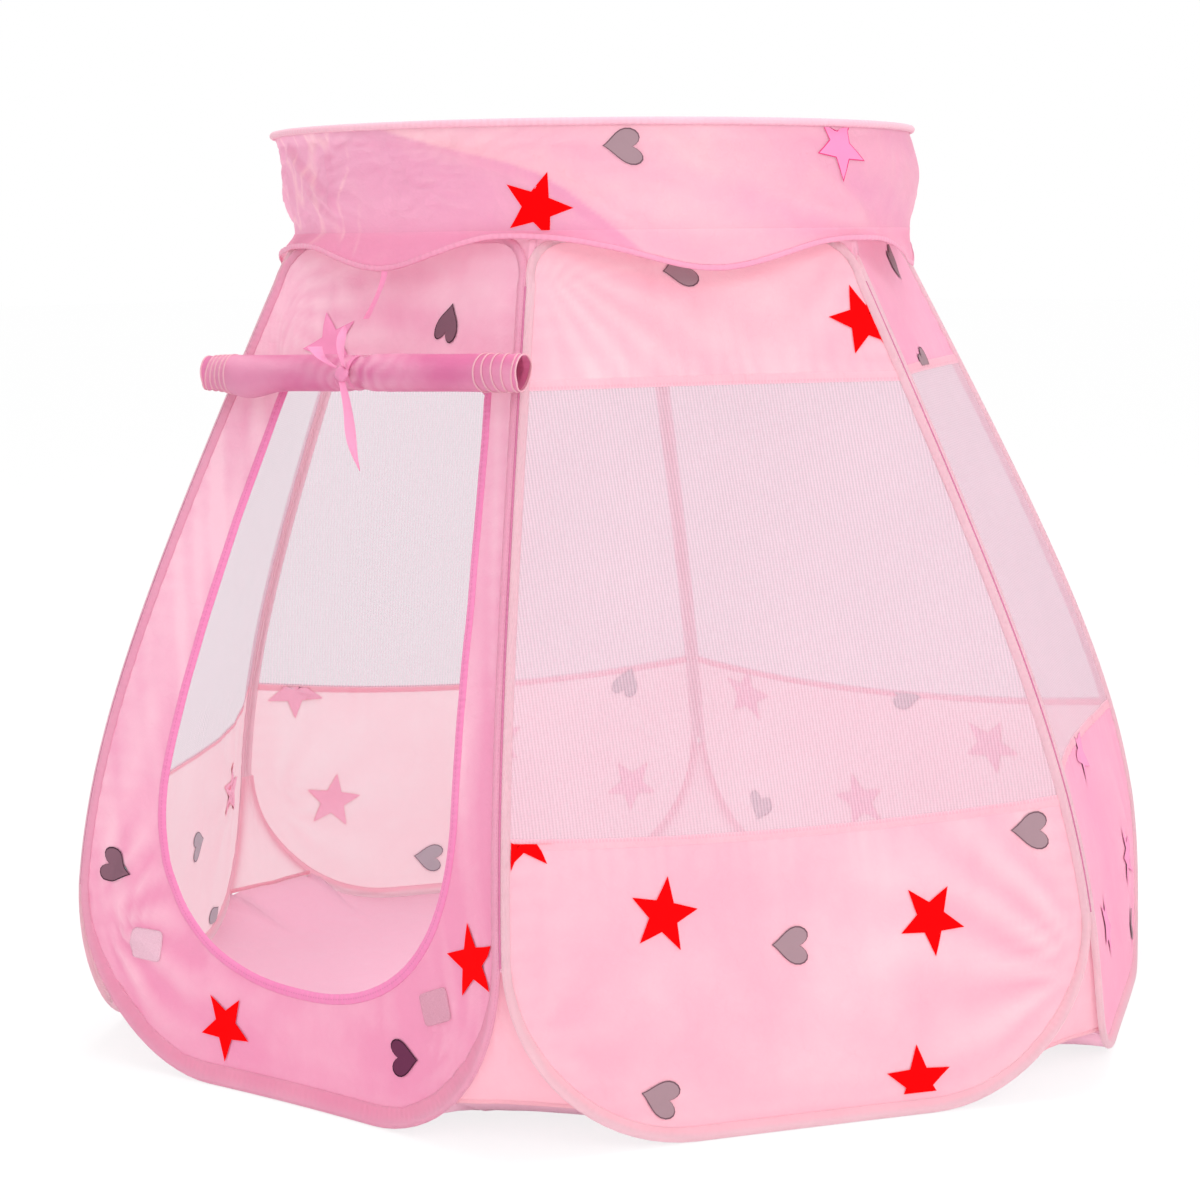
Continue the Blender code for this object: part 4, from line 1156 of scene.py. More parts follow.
# %% Floor sheet
FLOOR_TURN, FLOOR_LIFT, FLOOR_TUCK = 0.80, 0.0006, 0.0026
FLOOR_RINGS = (0.0, 0.15, 0.3, 0.45, 0.6, 0.7, 0.76, 0.8, 0.84, 0.88, 0.91, 0.94, 0.97, 1.0)
FLOOR_WRINKLE = 0.0012


def floor_edge():
    """Edge of the floor sheet, from foot line to gusset all the way round."""
    edge = []
    turns = [turn for turn in steps(0, math.pi / 2, 24) if hoop_corner(turn, 0)[1] < GUSSET_LOW]
    for side in range(SIDES):
        foot_half = hoop_corner(0, 0)[0]
        line = [(foot_half * way, FLOOR_LIFT) for way in steps(-1, 1, 14)]
        rise = [(across, max(height - FLOOR_TUCK, FLOOR_LIFT))
                for across, height in (hoop_corner(turn, 0) for turn in turns[1:])]
        line = [(-a, h) for a, h in reversed(rise)] + line + rise
        edge += [wall_point(side, a, h, -0.0030) for a, h in line]
        row = gusset_row(side, GUSSET_LOW, 8)[0]
        edge += [point - level((side + 0.5) * SIDE_TURN) * 0.0008 for point in row]
    return edge


edge = sorted(floor_edge(), key=lambda point: math.atan2(point.x, -point.y))
rows, places = [], []
for ring in FLOOR_RINGS:
    row = []
    for point in edge:
        lift = point.z * smooth((ring - FLOOR_TURN) / (1 - FLOOR_TURN)) + 0.0005
        wrinkle = FLOOR_WRINKLE * (1 + noise.noise(Vector((point.x * ring * 9, point.y * ring * 9, 2.0))))
        row.append(Vector((point.x * ring, point.y * ring, lift + wrinkle * smooth(4 * (1 - ring)))))
    rows.append(row)
    places.append([(point.x, point.y) for point in row])
floor_sheet = grid_piece("cloth_floor", rows, places, FLOOR_CLOTH, "tent", ["floor_sheet"], around=CLOSED)
say_cut(floor_sheet, 1.16, 1.04)
print("floor area", round(cloth_area(floor_sheet), 2), "m2")

# %% [markdown]
# ## The collar
# The collar is a band of the thinnest cloth, gathered at its foot and sewn to a wire ring at
# the top, and hangs in loose folds. The folds are ridges along lines that were read from the
# photograph, with finer crumples between them. Over the door the cloth lies double up to one
# slanting fold, and looks deeper there. When the ring is pressed down, the collar and its
# prints are squashed towards the foot. Bones could fold it more softly, but one squash holds
# at every pose.

# %% Measures of the collar
TENT_HEIGHT, RING_OUTER = 0.916, 0.3339
COLLAR_FOOT, COLLAR_FOOT_RADIUS, COLLAR_FOOT_LOBE, COLLAR_BELLY = 0.8125, 0.3235, 0.0045, 0.3309
HEM_HIGH, HEM_LOBE, HEM_RADIUS, HEM_RADIUS_LOBE = 0.803, 0.027, 0.3302, 0.0042
COLLAR_FOLDS = (
    ((-8.0, 0.905), (12.5, 0.893), 0.0020, 0.012), ((12.5, 0.893), (29.0, 0.860), 0.0036, 0.009),
    ((29.0, 0.860), (43.0, 0.795), 0.0034, 0.007), ((33.0, 0.872), (47.0, 0.812), 0.0020, 0.005),
    ((-13.7, 0.912), (-13.0, 0.800), 0.0030, 0.0030), ((-30.0, 0.90), (-13.0, 0.84), 0.0040, 0.006),
    ((-22.0, 0.86), (-10.0, 0.80), 0.0030, 0.004), ((78.0, 0.872), (92.0, 0.822), 0.0030, 0.008),
    ((70.0, 0.850), (98.0, 0.806), 0.0018, 0.007), ((52.0, 0.905), (60.0, 0.862), 0.0018, 0.010),
    ((150.0, 0.90), (165.0, 0.83), 0.0035, 0.007), ((190.0, 0.90), (182.0, 0.82), 0.0030, 0.006),
    ((230.0, 0.89), (215.0, 0.82), 0.0035, 0.007), ((262.0, 0.90), (270.0, 0.83), 0.0030, 0.006),
    ((290.0, 0.90), (300.0, 0.83), 0.0035, 0.007), ((325.0, 0.90), (315.0, 0.82), 0.0030, 0.006),
)
FOLD_LINE = ((-8.0, 5.6, 25.6, 30.0, 35.0, 42.0, 47.0), (0.930, 0.904, 0.875, 0.866, 0.849, 0.815, 0.795))
PINCH_TURN, PINCH = math.radians(-50), 0.0060
HEM_SHIFTS = ((-70, -50, -30, -17, 0, 12, 22, 30, 40),
              (0, -0.013, -0.006, 0.003, 0.002, 0.004, 0.006, 0.004, 0))
LOOSE_TURN, COLLAR_SLIP = -0.45, 0.0055
FACET, SHARP_FACET = 0.0030, 0.0030
print("collar's folds:", len(COLLAR_FOLDS))

# %% Shape of the collar
def around_point(turn, height, radius, slip=0.0):
    """Point round the tent's leaning axis, the cloth slipped a little to the camera's right."""
    return level(turn) * radius + Vector((0, 0, height)) + LEAN * height + across_view * slip


def collar_point(turn, share, lift=0.0):
    """Point on the collar, a share of the way up; it slips most at the waist."""
    height = mix(COLLAR_FOOT, TENT_HEIGHT - SLEEVE, share)
    slip = COLLAR_SLIP * smooth((1 - share) / 0.45)
    return around_point(turn, height, collar_radius(turn, share) + lift, slip)


def fold_height(turn, height):
    """Ridges along the collar's folds."""
    total = 0.0
    degrees = math.degrees(turn)
    for (a_turn, a_height), (b_turn, b_height), depth, wide in COLLAR_FOLDS:
        away = (degrees - (a_turn + b_turn) / 2 + 180) % 360 - 180 + (a_turn + b_turn) / 2
        x = math.radians(away - a_turn) * RING_OUTER
        y = height - a_height
        run_x = math.radians(b_turn - a_turn) * RING_OUTER
        run_y = b_height - a_height
        length = math.hypot(run_x, run_y)
        along = (x * run_x + y * run_y) / length ** 2
        aside = (x * run_y - y * run_x) / length
        fade = smooth((along + 0.15) / 0.3) * smooth((1.15 - along) / 0.3)
        step = math.tanh(aside / wide) * math.exp(-abs(aside) / (3 * wide))
        total += depth * fade * (math.exp(-(aside / wide) ** 2) + 0.6 * step)
    return total


def crumple(turn, height):
    """Irregular flat facets of the thin cloth, sharper where it hangs loose."""
    place = Vector((math.sin(turn), math.cos(turn), 0)) * 3.2 + Vector((0, 0, height * 11))
    bent = place + 0.6 * noise.noise_vector(place * 1.3)
    facets = FACET * (abs(noise.noise(bent)) + 0.5 * abs(noise.noise(bent * 2.3)) - 0.30)
    loose = smooth(1.5 * math.cos(turn - LOOSE_TURN) - 0.4)
    sharp = SHARP_FACET * (0.35 - abs(noise.noise(bent * 4.5)) - 0.5 * abs(noise.noise(bent * 9)))
    return facets + sharp * loose + 0.0012 * noise.noise(place * 0.7)


def pinch(turn):
    """How far the waist is drawn in at one side."""
    return PINCH * max(math.cos(turn - PINCH_TURN), 0) ** 2


def waist_radius(turn):
    """Radius where the collar is gathered."""
    return COLLAR_FOOT_RADIUS - COLLAR_FOOT_LOBE * math.cos(SIDES * turn)


def collar_radius(turn, share):
    """Radius of the collar, a share of the way up."""
    foot, top = waist_radius(turn), RING_OUTER - 2 * SLEEVE + 0.001
    arch = math.sin(math.pi * share) * smooth(share / 0.35)
    belly = (COLLAR_BELLY - (COLLAR_FOOT_RADIUS + top) / 2) * 1.15 * arch
    height = mix(COLLAR_FOOT, TENT_HEIGHT, share)
    loose = smooth(share / 0.2) * smooth((1 - share) / 0.12)
    drawn_in = pinch(turn) * smooth((1 - share) / 0.15)
    ridges = (fold_height(turn, height) + crumple(turn, height)) * loose
    return mix(foot, top, share) + belly - drawn_in + ridges


print("collar's waist", round(waist_radius(0), 4), "m from the axis over the door")

# %% Tint of the collar
COLLAR_FOLD_FULL = 0.0050


def near_degrees(turn):
    """The turn in degrees, from -180 to 180."""
    return (math.degrees(turn) + 180) % 360 - 180


def collar_tint(turn, height):
    """Deeper over the door, up to the slanting fold; paler beyond it."""
    degrees = near_degrees(turn)
    line = float(np.interp(degrees, *FOLD_LINE))
    below = smooth((line - height) / 0.005 + 0.5) * smooth((49 - degrees) / 4)
    drift = 0.3 * noise.noise(Vector((degrees * 0.05 + height * 30, height * 9, 3)))
    plain = mix(0.34, -0.10, smooth((degrees - 60) / 34)) + drift
    shown = smooth((degrees + 70) / 10) * smooth((150 - degrees) / 20)
    seam = math.exp(-((degrees + 13.5 + 40 * (height - 0.86)) / 0.9) ** 2)
    place = Vector((math.sin(turn), math.cos(turn), height * 1.2)) * 10
    vein = max(1 - abs(noise.noise(place + 0.25 * noise.noise_vector(place))) / 0.12, 0)
    vein *= smooth((-4 - degrees) / 6) * smooth((degrees + 44) / 8)
    folds = (fold_height(turn, height) - 1.2 * crumple(turn, height)) / COLLAR_FOLD_FULL
    return (mix(plain, -0.44, below) - 0.30 * seam + 0.9 * vein) * shown + 0.30 * folds


print("tint beside the slanting fold:", round(collar_tint(0.3, 0.83), 2), "and",
      round(collar_tint(0.3, 0.90), 2))

# %% Collar
COLLAR_COLUMNS, COLLAR_ROWS = 480, 44
COLLAR_TURNS = steps(0, 2 * math.pi, COLLAR_COLUMNS)[:-1]
rows, places, folds = [], [], []
for share in steps(0, 1, COLLAR_ROWS):
    height = mix(COLLAR_FOOT, TENT_HEIGHT - SLEEVE, share)
    rows.append([collar_point(turn, share) for turn in COLLAR_TURNS])
    places.append([(turn * RING_OUTER, height) for turn in COLLAR_TURNS])
    folds += [collar_tint(turn, height) for turn in COLLAR_TURNS]
collar = grid_piece("cloth_collar", rows, places, COLLAR_CLOTH, "tent", ["collar"],
                    around=2 * math.pi * RING_OUTER, folds=folds)
say_cut(collar, 2.10, 0.11)
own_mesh(collar)

# %% [markdown]
# ## Hem, yoke and ring
# The hem is the collar's own cloth, flared from the gathered waist down to a scalloped edge
# with one lobe over each wall, which a thin tape binds. Behind it a narrow yoke joins the waist
# to the tops of the hoops, so that no gap shows from inside. The ring's sleeve is a plain tube
# round its wire.

# %% Hem
HEM_STEPS, HEM_SLIP, HEM_PROUD, RUFFLE = 12, 0.3, 0.0004, 0.0022


def hem_place(turn, share):
    """Point of the hem, from the gathered foot to the scalloped edge."""
    lobe = (0.5 + 0.5 * math.cos(SIDES * turn)) ** 1.4
    edge = HEM_HIGH - HEM_LOBE * lobe + float(np.interp(near_degrees(turn), *HEM_SHIFTS))
    height = mix(COLLAR_FOOT, edge, share)
    low = HEM_RADIUS - HEM_RADIUS_LOBE * math.cos(SIDES * turn)
    ruffle = RUFFLE * noise.noise(Vector((math.sin(turn) * 9, math.cos(turn) * 9, 4.0)))
    loose = crumple(turn, height) + fold_height(turn, height)
    flare = share * share * (3 - share) / 2
    radius = mix(waist_radius(turn), low, flare) + (ruffle + 0.5 * loose) * share
    return height, radius + HEM_PROUD - pinch(turn) * (1 - share)


rows, places, folds = [], [], []
for share in steps(0, 1, HEM_STEPS):
    row, line = [], []
    for turn in COLLAR_TURNS:
        height, radius = hem_place(turn, share)
        row.append(around_point(turn, height, radius, COLLAR_SLIP * (1 - (1 - HEM_SLIP) * share)))
        line.append((turn * RING_OUTER, height))
        folds.append(collar_tint(turn, height))
    rows.append(row)
    places.append(line)
hem = grid_piece("cloth_hem", rows, places, HEM_CLOTH, "tent", ["collar_hem"],
                 around=2 * math.pi * RING_OUTER, folds=folds)
say_cut(hem, 2.10, 0.036)
print("hem drops", HEM_LOBE, "m in each lobe")

# %% Yoke
YOKE_STEPS, YOKE_SAG, YOKE_TUCK = 5, 0.004, 0.0012


def yoke_edge():
    """The hoops' upper edges, round all six walls."""
    over = [place for place in whole_path(hoop_half_path(0)) if place[1] >= HIGH_BEND]
    points = [wall_point(side, across, height, -0.001) for side in range(SIDES) for across, height in over]
    return sorted(points, key=yoke_turn)


def yoke_turn(point):
    """Azimuth of a point about the leaning axis."""
    flat = point - LEAN * point.z
    return math.atan2(flat.x, -flat.y)


edge = yoke_edge()
rows, places = [], []
for share in steps(0, 1, YOKE_STEPS):
    row = []
    for point in edge:
        turn = yoke_turn(point)
        height, radius = hem_place(turn, 0.0)
        waist = around_point(turn, height - YOKE_TUCK / 2, radius - YOKE_TUCK, COLLAR_SLIP)
        row.append(waist.lerp(point, share) + Vector((0, 0, -YOKE_SAG * math.sin(math.pi * share))))
    rows.append(row)
    places.append([(yoke_turn(point) * RING_OUTER, share * 0.04) for point in edge])
yoke = grid_piece("cloth_yoke", rows, places, HEM_CLOTH, "tent", around=2 * math.pi * RING_OUTER)
say_cut(yoke, 2.05, 0.06)
print("yoke area", round(cloth_area(yoke), 3), "m2")

# %% Tape of the hem and sleeve of the ring
RING_STEPS = 300
HEM_TAPE_HALVES = (0.0009, 0.0028)


def ring_stations(place_of, count):
    """Stations of a sweep round the axis."""
    centres = [place_of(turn) for turn in steps(0, 2 * math.pi, count)[:-1]]
    stations = []
    for index, centre in enumerate(centres):
        run = (centres[(index + 1) % count] - centres[index - 1]).normalized()
        inward = -level(2 * math.pi * index / count)
        inward = (inward - run * inward.dot(run)).normalized()
        stations.append((centre, inward, run.cross(inward)))
    return stations


def hem_edge(turn):
    """Scalloped edge of the hem."""
    return around_point(turn, *hem_place(turn, 1.0), COLLAR_SLIP * HEM_SLIP)


def ring_place(turn):
    """Middle of the ring's sleeve."""
    return around_point(turn, TENT_HEIGHT - SLEEVE, RING_OUTER - SLEEVE)


sweep_piece("tape_hem", ring_stations(hem_edge, RING_STEPS), oval(*HEM_TAPE_HALVES, 8), HEM_TAPE, "tent")
sweep_piece("ring_sleeve_cloth", ring_stations(ring_place, RING_STEPS), oval(SLEEVE, SLEEVE, 16),
            RING_TAPE, "ring", ["ring_sleeve"])
print("ring", round(2 * RING_OUTER, 3), "m across")

# %% [markdown]
# ## The rolled flap
# The door flap is rolled up from below and tied. The flap is widest at its belly, so the inner
# turns stick out past the outer ones, and the ends show the layers as steps. It is made as it
# is on the real tent, as one long sheet wound in a spiral: a turn more for each layer. Its two
# long edges are bound with tape, and a short strip, its root, hangs it on the door side.

# %% Frame of the roll
ROLL_RADIUS, ROLL_HEIGHT, ROLL_ACROSS = 0.0178, 0.680, 0.006
ROLL_HALF = 0.205
ROLL_SLANT, ROLL_ROOM = math.radians(1.1), 0.0015
rise = 0.20 * math.sin(ROLL_SLANT)
slope = math.atan2(seam_radius(ROLL_HEIGHT - ROLL_RADIUS) - seam_radius(ROLL_HEIGHT), ROLL_RADIUS)
proud = (SLEEVE + ROLL_RADIUS + ROLL_ROOM) / math.cos(slope)
ends = [wall_point(DOOR_SIDE, way * wall_half(ROLL_HEIGHT), ROLL_HEIGHT + way * rise, proud)
        for way in (-1, 1)]
ROLL_ALONG = (ends[1] - ends[0]).normalized()
ROLL_OUT = Vector((ROLL_ALONG.y, -ROLL_ALONG.x, 0)).normalized()
ROLL_UP = ROLL_ALONG.cross(-ROLL_OUT)
ROLL_MIDDLE = (ends[0] + ends[1]) / 2


def roll_point(across, radius, turn, flat=1.0):
    """Point round the roll; the turn runs from the top over the back."""
    return (ROLL_MIDDLE + ROLL_ALONG * across
            + (ROLL_UP * math.cos(turn) - ROLL_OUT * math.sin(turn) * flat) * radius)


print("the roll's middle is", round(ROLL_MIDDLE.z, 3), "m high")

# %% Shape of the wound sheet
TURNS, LAYER = 6.0, 0.00050
TIE_ACROSS, TIE_SQUEEZE = 0.004, 0.0026
BODY_LEFT, BODY_RIGHT = 0.168, 0.158
BULGE_ACROSS, BULGE, MOUTH_FLARE, MOUTH_FLAT = -0.145, 0.0070, 0.0014, 0.74
PLEAT, SOFT_DENT = 0.0009, 0.0009


def layer_end(way, turns):
    """How far a layer reaches along the roll, at a number of turns from the outside."""
    body = BODY_LEFT if way < 0 else BODY_RIGHT
    return mix(body, ROLL_HALF, min(max(turns - 0.4, 0) / (TURNS - 1.4), 1))


def wound(along, turns):
    """Radius, angle and tint of the wound sheet at a distance along the roll."""
    turn = -2 * math.pi * turns + 0.45
    tie = abs(along - TIE_ACROSS)
    swing = 3 * noise.noise(Vector((along * 30, turn, 0)))
    pleats = math.sin(along * 330 + 2.2 * math.sin(turn * 2) + swing)
    soft = noise.noise(Vector((along * 12, math.cos(turn) * 0.9, math.sin(turn) * 0.9)))
    bulge = BULGE * math.exp(-((along - BULGE_ACROSS) / 0.026) ** 2)
    bulge *= max(-math.cos(turn - 0.3), 0) ** 2
    flare = MOUTH_FLARE * smooth((abs(along) - 0.15) / 0.05)
    squeeze = TIE_SQUEEZE * math.exp(-(tie / 0.014) ** 2)
    radius = (ROLL_RADIUS - LAYER * turns - squeeze + bulge + flare
              + PLEAT * pleats * math.exp(-tie / 0.022) + SOFT_DENT * soft)
    return radius, turn, 0.9 * pleats * math.exp(-tie / 0.03) + 1.1 * soft


print("layers reach from", round(layer_end(1, 0), 3), "to", round(layer_end(1, TURNS), 3), "m")

# %% The wound sheet
ROLL_ROWS, ROLL_COLUMNS = 260, 80
rows, places, folds, rims = [], [], [], ([], [])
for turns in steps(0, TURNS, ROLL_ROWS):
    row, line = [], []
    for share in steps(0, 1, ROLL_COLUMNS):
        along = mix(-layer_end(-1, turns), layer_end(1, turns), share)
        radius, turn, tint = wound(along, turns)
        flat = mix(1, MOUTH_FLAT, smooth((abs(along) - 0.150) / 0.055))
        slant = 0.005 * math.cos(turn + 0.5) * smooth((abs(along) - 0.175) / 0.03)
        row.append(roll_point(ROLL_ACROSS + along + min(slant, ROLL_HALF - abs(along)), radius, turn, flat))
        line.append((along, turns * 2 * math.pi * radius))
        folds.append(tint - 2.0 * smooth((turns - TURNS + 1.6) / 0.8))
    rims[0].append(row[0])
    rims[1].append(row[-1])
    rows.append(row)
    places.append(line)
roll = grid_piece("cloth_rolled_flap", rows, places, ROLL_CLOTH, "flap", ["door_flap_roll"], folds=folds)
say_cut(roll, 0.41, 0.62)
print("rolled flap area", round(cloth_area(roll), 3), "m2")

# %% Edge tapes and root of the flap
RIM = oval(0.0011, 0.0007, 6)
for word, rim in zip(("left", "right"), rims):
    stations = []
    for index, centre in enumerate(rim):
        run = (rim[min(index + 1, len(rim) - 1)] - rim[max(index - 1, 0)]).normalized()
        toward = (ROLL_ALONG - run * ROLL_ALONG.dot(run)).normalized()
        stations.append((centre, toward, run.cross(toward)))
    sweep_piece("tape_flap_" + word, stations, RIM, EDGE_TAPE, "flap", closed=False)
ROOT_HEIGHT, ROOT_HALF, ROOT_CLEAR, ROOT_TURN = 0.694, 0.125, 0.0012, math.radians(28)
rows, places = [], []
for share in steps(0, 1, 8):
    row, line = [], []
    for across in steps(-ROOT_HALF, ROOT_HALF, 30):
        top = skin(DOOR_SIDE, DOOR_OFFSET + across, ROOT_HEIGHT, ROOT_CLEAR)
        low = roll_point(DOOR_OFFSET + across, ROLL_RADIUS + ROOT_CLEAR, ROOT_TURN)
        sag = 0.0008 * math.sin(math.pi * share) * (1 + noise.noise(Vector((across * 20, 0, 7))))
        row.append(top.lerp(low, share) + Vector((0, 0, -sag)))
        line.append((across, share * 0.014))
    rows.append(row)
    places.append(line)
root = grid_piece("cloth_flap_root", rows, places, ROLL_CLOTH, "flap", ["door_flap_root"])
say_cut(root, 0.26, 0.05)
print("root area", round(cloth_area(root) * 1e4, 1), "cm2")

# %% [markdown]
# ## Tie and ribbons
# A narrow ribbon goes round the roll and is knotted in front. Two short ends stand up, one long
# end hangs, and another loose ribbon hangs from the hem. A ribbon is a strip of faces whose
# width direction slowly turns, which gives the twist that a straight strip lacks.

# %% A ribbon along a path
TIE_WIDTH, RIBBON_CUT = 0.008, 0.010


def ribbon_piece(name, middle_of, width_of, turn_of, count, body, nodes):
    """A ribbon along a path, its width turned about the path."""
    rows, places, run = [], [], 0.0
    before = None
    for share in steps(0, 1, count):
        middle = middle_of(share)
        run += (middle - before).length if before else 0
        before = middle
        turn = turn_of(share)
        aside = ROLL_ALONG * math.cos(turn) + ROLL_OUT * math.sin(turn)
        hollow = ROLL_OUT * math.cos(turn) - ROLL_ALONG * math.sin(turn)
        row, line = [], []
        for way in steps(-1, 1, 6):
            half = width_of(share) / 2
            row.append(middle + aside * half * way - hollow * 0.0012 * (1 - way ** 2))
            line.append((run, 0.5 + way * half * 40))
        rows.append(row)
        places.append(line)
    return grid_piece(name, rows, places, RIBBON_CLOTH, body, nodes)


print("ribbon", TIE_WIDTH, "m wide")

# %% Loop and knot
tie_radius = ROLL_RADIUS - 0.0018
LOOP_TURNS = steps(0, 2 * math.pi, 48)[:-1]
rows = []
for turn in LOOP_TURNS:
    rows.append([roll_point(TIE_ACROSS + way * TIE_WIDTH / 2 * 0.8,
                            tie_radius + 0.0008 * (1 - way ** 2) + 0.0006 * math.sin(3 * turn), turn)
                 for way in steps(-1, 1, 6)])
columns = [list(column) for column in zip(*rows)]
places = [[(turn * ROLL_RADIUS, row * 0.001) for turn in LOOP_TURNS] for row in range(len(columns))]
grid_piece("ribbon_loop", columns, places, RIBBON_CLOTH, "flap", ["tie_loop"],
           around=2 * math.pi * ROLL_RADIUS)
KNOT = roll_point(TIE_ACROSS, ROLL_RADIUS + 0.0016, -math.pi / 2)
KNOT_DEPTH, KNOT_WIDE, KNOT_HIGH, KNOT_MAP = 0.0035, 0.0078, 0.0075, 0.006
rows, places = [], []
for row_turn in steps(0, math.pi, 10):
    row, line = [], []
    for turn in steps(0, 2 * math.pi, 20)[:-1]:
        pleat = 1 + 0.20 * math.sin(5 * turn + 4 * row_turn)
        row.append(KNOT
                   + ROLL_OUT * (KNOT_DEPTH + KNOT_DEPTH * math.sin(row_turn) * math.cos(turn) * pleat)
                   + ROLL_ALONG * KNOT_WIDE * math.sin(row_turn) * math.sin(turn) * pleat
                   + ROLL_UP * KNOT_HIGH * math.cos(row_turn))
        line.append((turn * KNOT_MAP, row_turn * KNOT_MAP))
    rows.append(row)
    places.append(line)
grid_piece("ribbon_knot", rows, places, RIBBON_CLOTH, "flap", ["tie_knot"],
           around=2 * math.pi * KNOT_MAP)
print("knot", round(KNOT.z, 3), "m high")

# %% Ends, tail and the loose ribbon
def end_path(beside, aside, lift):
    """Path of a short end that stands up from the knot."""
    def middle(share):
        return (KNOT + ROLL_OUT * (KNOT_DEPTH + 0.006 * math.sin(math.pi * share))
                + ROLL_ALONG * (beside + aside * share) + Vector((0, 0, 0.005 + lift * share)))
    return middle


ribbon_piece("ribbon_end_left", end_path(-0.0043, -0.030, 0.021), lambda s: mix(0.005, 0.015, s),
             lambda s: -0.5 * s, 10, "flap", ["tie_end_left"])
ribbon_piece("ribbon_end_right", end_path(0.0043, 0.002, 0.041),
             lambda s: mix(0.006, 0.012, s) * (1 - s ** 6), lambda s: 0.4 - 1.2 * s, 12, "flap",
             ["tie_end_right"])
TAIL_TOP = KNOT + ROLL_OUT * KNOT_DEPTH - Vector((0, 0, 0.0063))
tail = ribbon_piece("ribbon_tail",
                    lambda s: TAIL_TOP + ROLL_ALONG * (0.022 * s + 0.002 * math.sin(6 * s))
                    + ROLL_OUT * 0.002 * math.sin(math.pi * s) + Vector((0, 0, -0.085 * s)),
                    lambda s: TIE_WIDTH * (0.60 + 0.75 * math.sin(2.6 * s)) * (1 - s ** 4) + 0.0008,
                    lambda s: -0.7 + 0.5 * math.sin(5 * s), 24, "tail", ["tie_tail"])
SPARE_TOP = (around_point(0, HEM_HIGH - HEM_LOBE, HEM_RADIUS - HEM_RADIUS_LOBE)
             + Vector((0.008, 0, -0.0006)))
spare = ribbon_piece("ribbon_spare",
                     lambda s: SPARE_TOP + ROLL_ALONG * -0.026 * s ** 1.4 + Vector((0, 0, -0.045 * s)),
                     lambda s: TIE_WIDTH * 0.75, lambda s: -0.6 + 0.5 * math.sin(3 * s), 14,
                     "loose_ribbon", ["spare_ribbon"])
for piece, length in ((tail, 0.089), (spare, 0.053)):
    round(min(cloth_area(piece), RIBBON_CUT * length), 6)
print("tail area", round(cloth_area(tail) * 1e4, 1), "cm2")

# %% [markdown]
# ## Printed stars and hearts
# The cloth is printed with red stars and grey hearts, scattered over every wall. Each print is a
# flat shape laid on the folded cloth by the same formula, a fraction of a millimetre proud.
# Where a print meets a seam it is cut off there, as the real cloth was cut after printing.

# %% Outlines of the prints
def star_outline(count=10):
    """A five-pointed star of unit size, with a point between its corners."""
    tips = []
    for index in range(count):
        radius = 1.0 if index % 2 == 0 else 0.43
        turn = math.pi * index / 5
        tips.append(Vector((radius * math.sin(turn), radius * math.cos(turn))))
    outline = []
    for index, tip in enumerate(tips):
        outline += [tip, tip.lerp(tips[(index + 1) % count], 0.5)]
    return outline


def heart_outline(count=30):
    """A slim heart of unit size, its point at the top."""
    outline = []
    for turn in steps(0, 2 * math.pi, count)[:-1]:
        x = math.copysign(16 * abs(math.sin(turn)) ** 2.4, math.sin(turn))
        y = 13 * math.cos(turn) - 5 * math.cos(2 * turn) - 2 * math.cos(3 * turn) - math.cos(4 * turn)
        outline.append(Vector((x / 17 * 0.86, -y / 17)))
    return outline


OUTLINES = {"star": star_outline(), "heart": heart_outline()}
PRINT_SIZE = {"star": 0.0345, "heart": 0.0215}
PRINT_RINGS = (0.35, 0.7, 0.86, 1.0)
print("outlines:", {kind: len(outline) for kind, outline in OUTLINES.items()})

# %% From an outline to a piece
def print_faces(kind, turn, place_of, points, faces, corners):
    """Add one print to the growing lists; place_of gives a point from the print's own place."""
    outline, size, rings = OUTLINES[kind], PRINT_SIZE[kind], PRINT_RINGS
    start = len(points)
    points.append(place_of(0, 0))
    cos, sin = math.cos(turn), math.sin(turn)
    for ring in rings:
        for spot in outline:
            x, y = spot.x * size * ring, spot.y * size * ring
            points.append(place_of(x * cos - y * sin, x * sin + y * cos))
    count = len(outline)
    for index in range(count):
        following = (index + 1) % count
        faces.append((start, start + 1 + index, start + 1 + following))
        corners += [(0, 0), (rings[0], 0), (rings[0], 0)]
        for ring in range(len(rings) - 1):
            low, high = start + 1 + ring * count, start + 1 + (ring + 1) * count
            faces.append((low + index, high + index, high + following, low + following))
            corners += [(rings[ring], 0), (rings[ring + 1], 0), (rings[ring + 1], 0), (rings[ring], 0)]


def print_piece(name, prints):
    """One piece for all the prints on a cloth: each has a kind, degrees, an ink and a place rule."""
    points, faces, corners, slots = [], [], [], []
    for kind, degrees, ink, place_of in prints:
        print_faces(kind, math.radians(degrees), place_of, points, faces, corners)
        slots += [ink] * (len(faces) - len(slots))
    piece = finish_piece(name, points, faces, corners, INKS[0], "tent")
    for ink in INKS[1:]:
        piece.data.materials.append(ink)
    for face, slot in zip(piece.data.polygons, slots):
        face.material_index = slot
    return piece


INKS = [RED_INK, GREY_INK, DARK_INK, FAINT_RED, FAINT_GREY, BROWN_INK, BLUSH_INK, WORN_INK]
INK_OF = {"star": 0, "heart": 1, "dark": 5, "black": 2, "worn": 7}
FAINT_INK_OF = {"star": 3, "heart": 4}
print("inks in order:", [ink.name for ink in INKS])

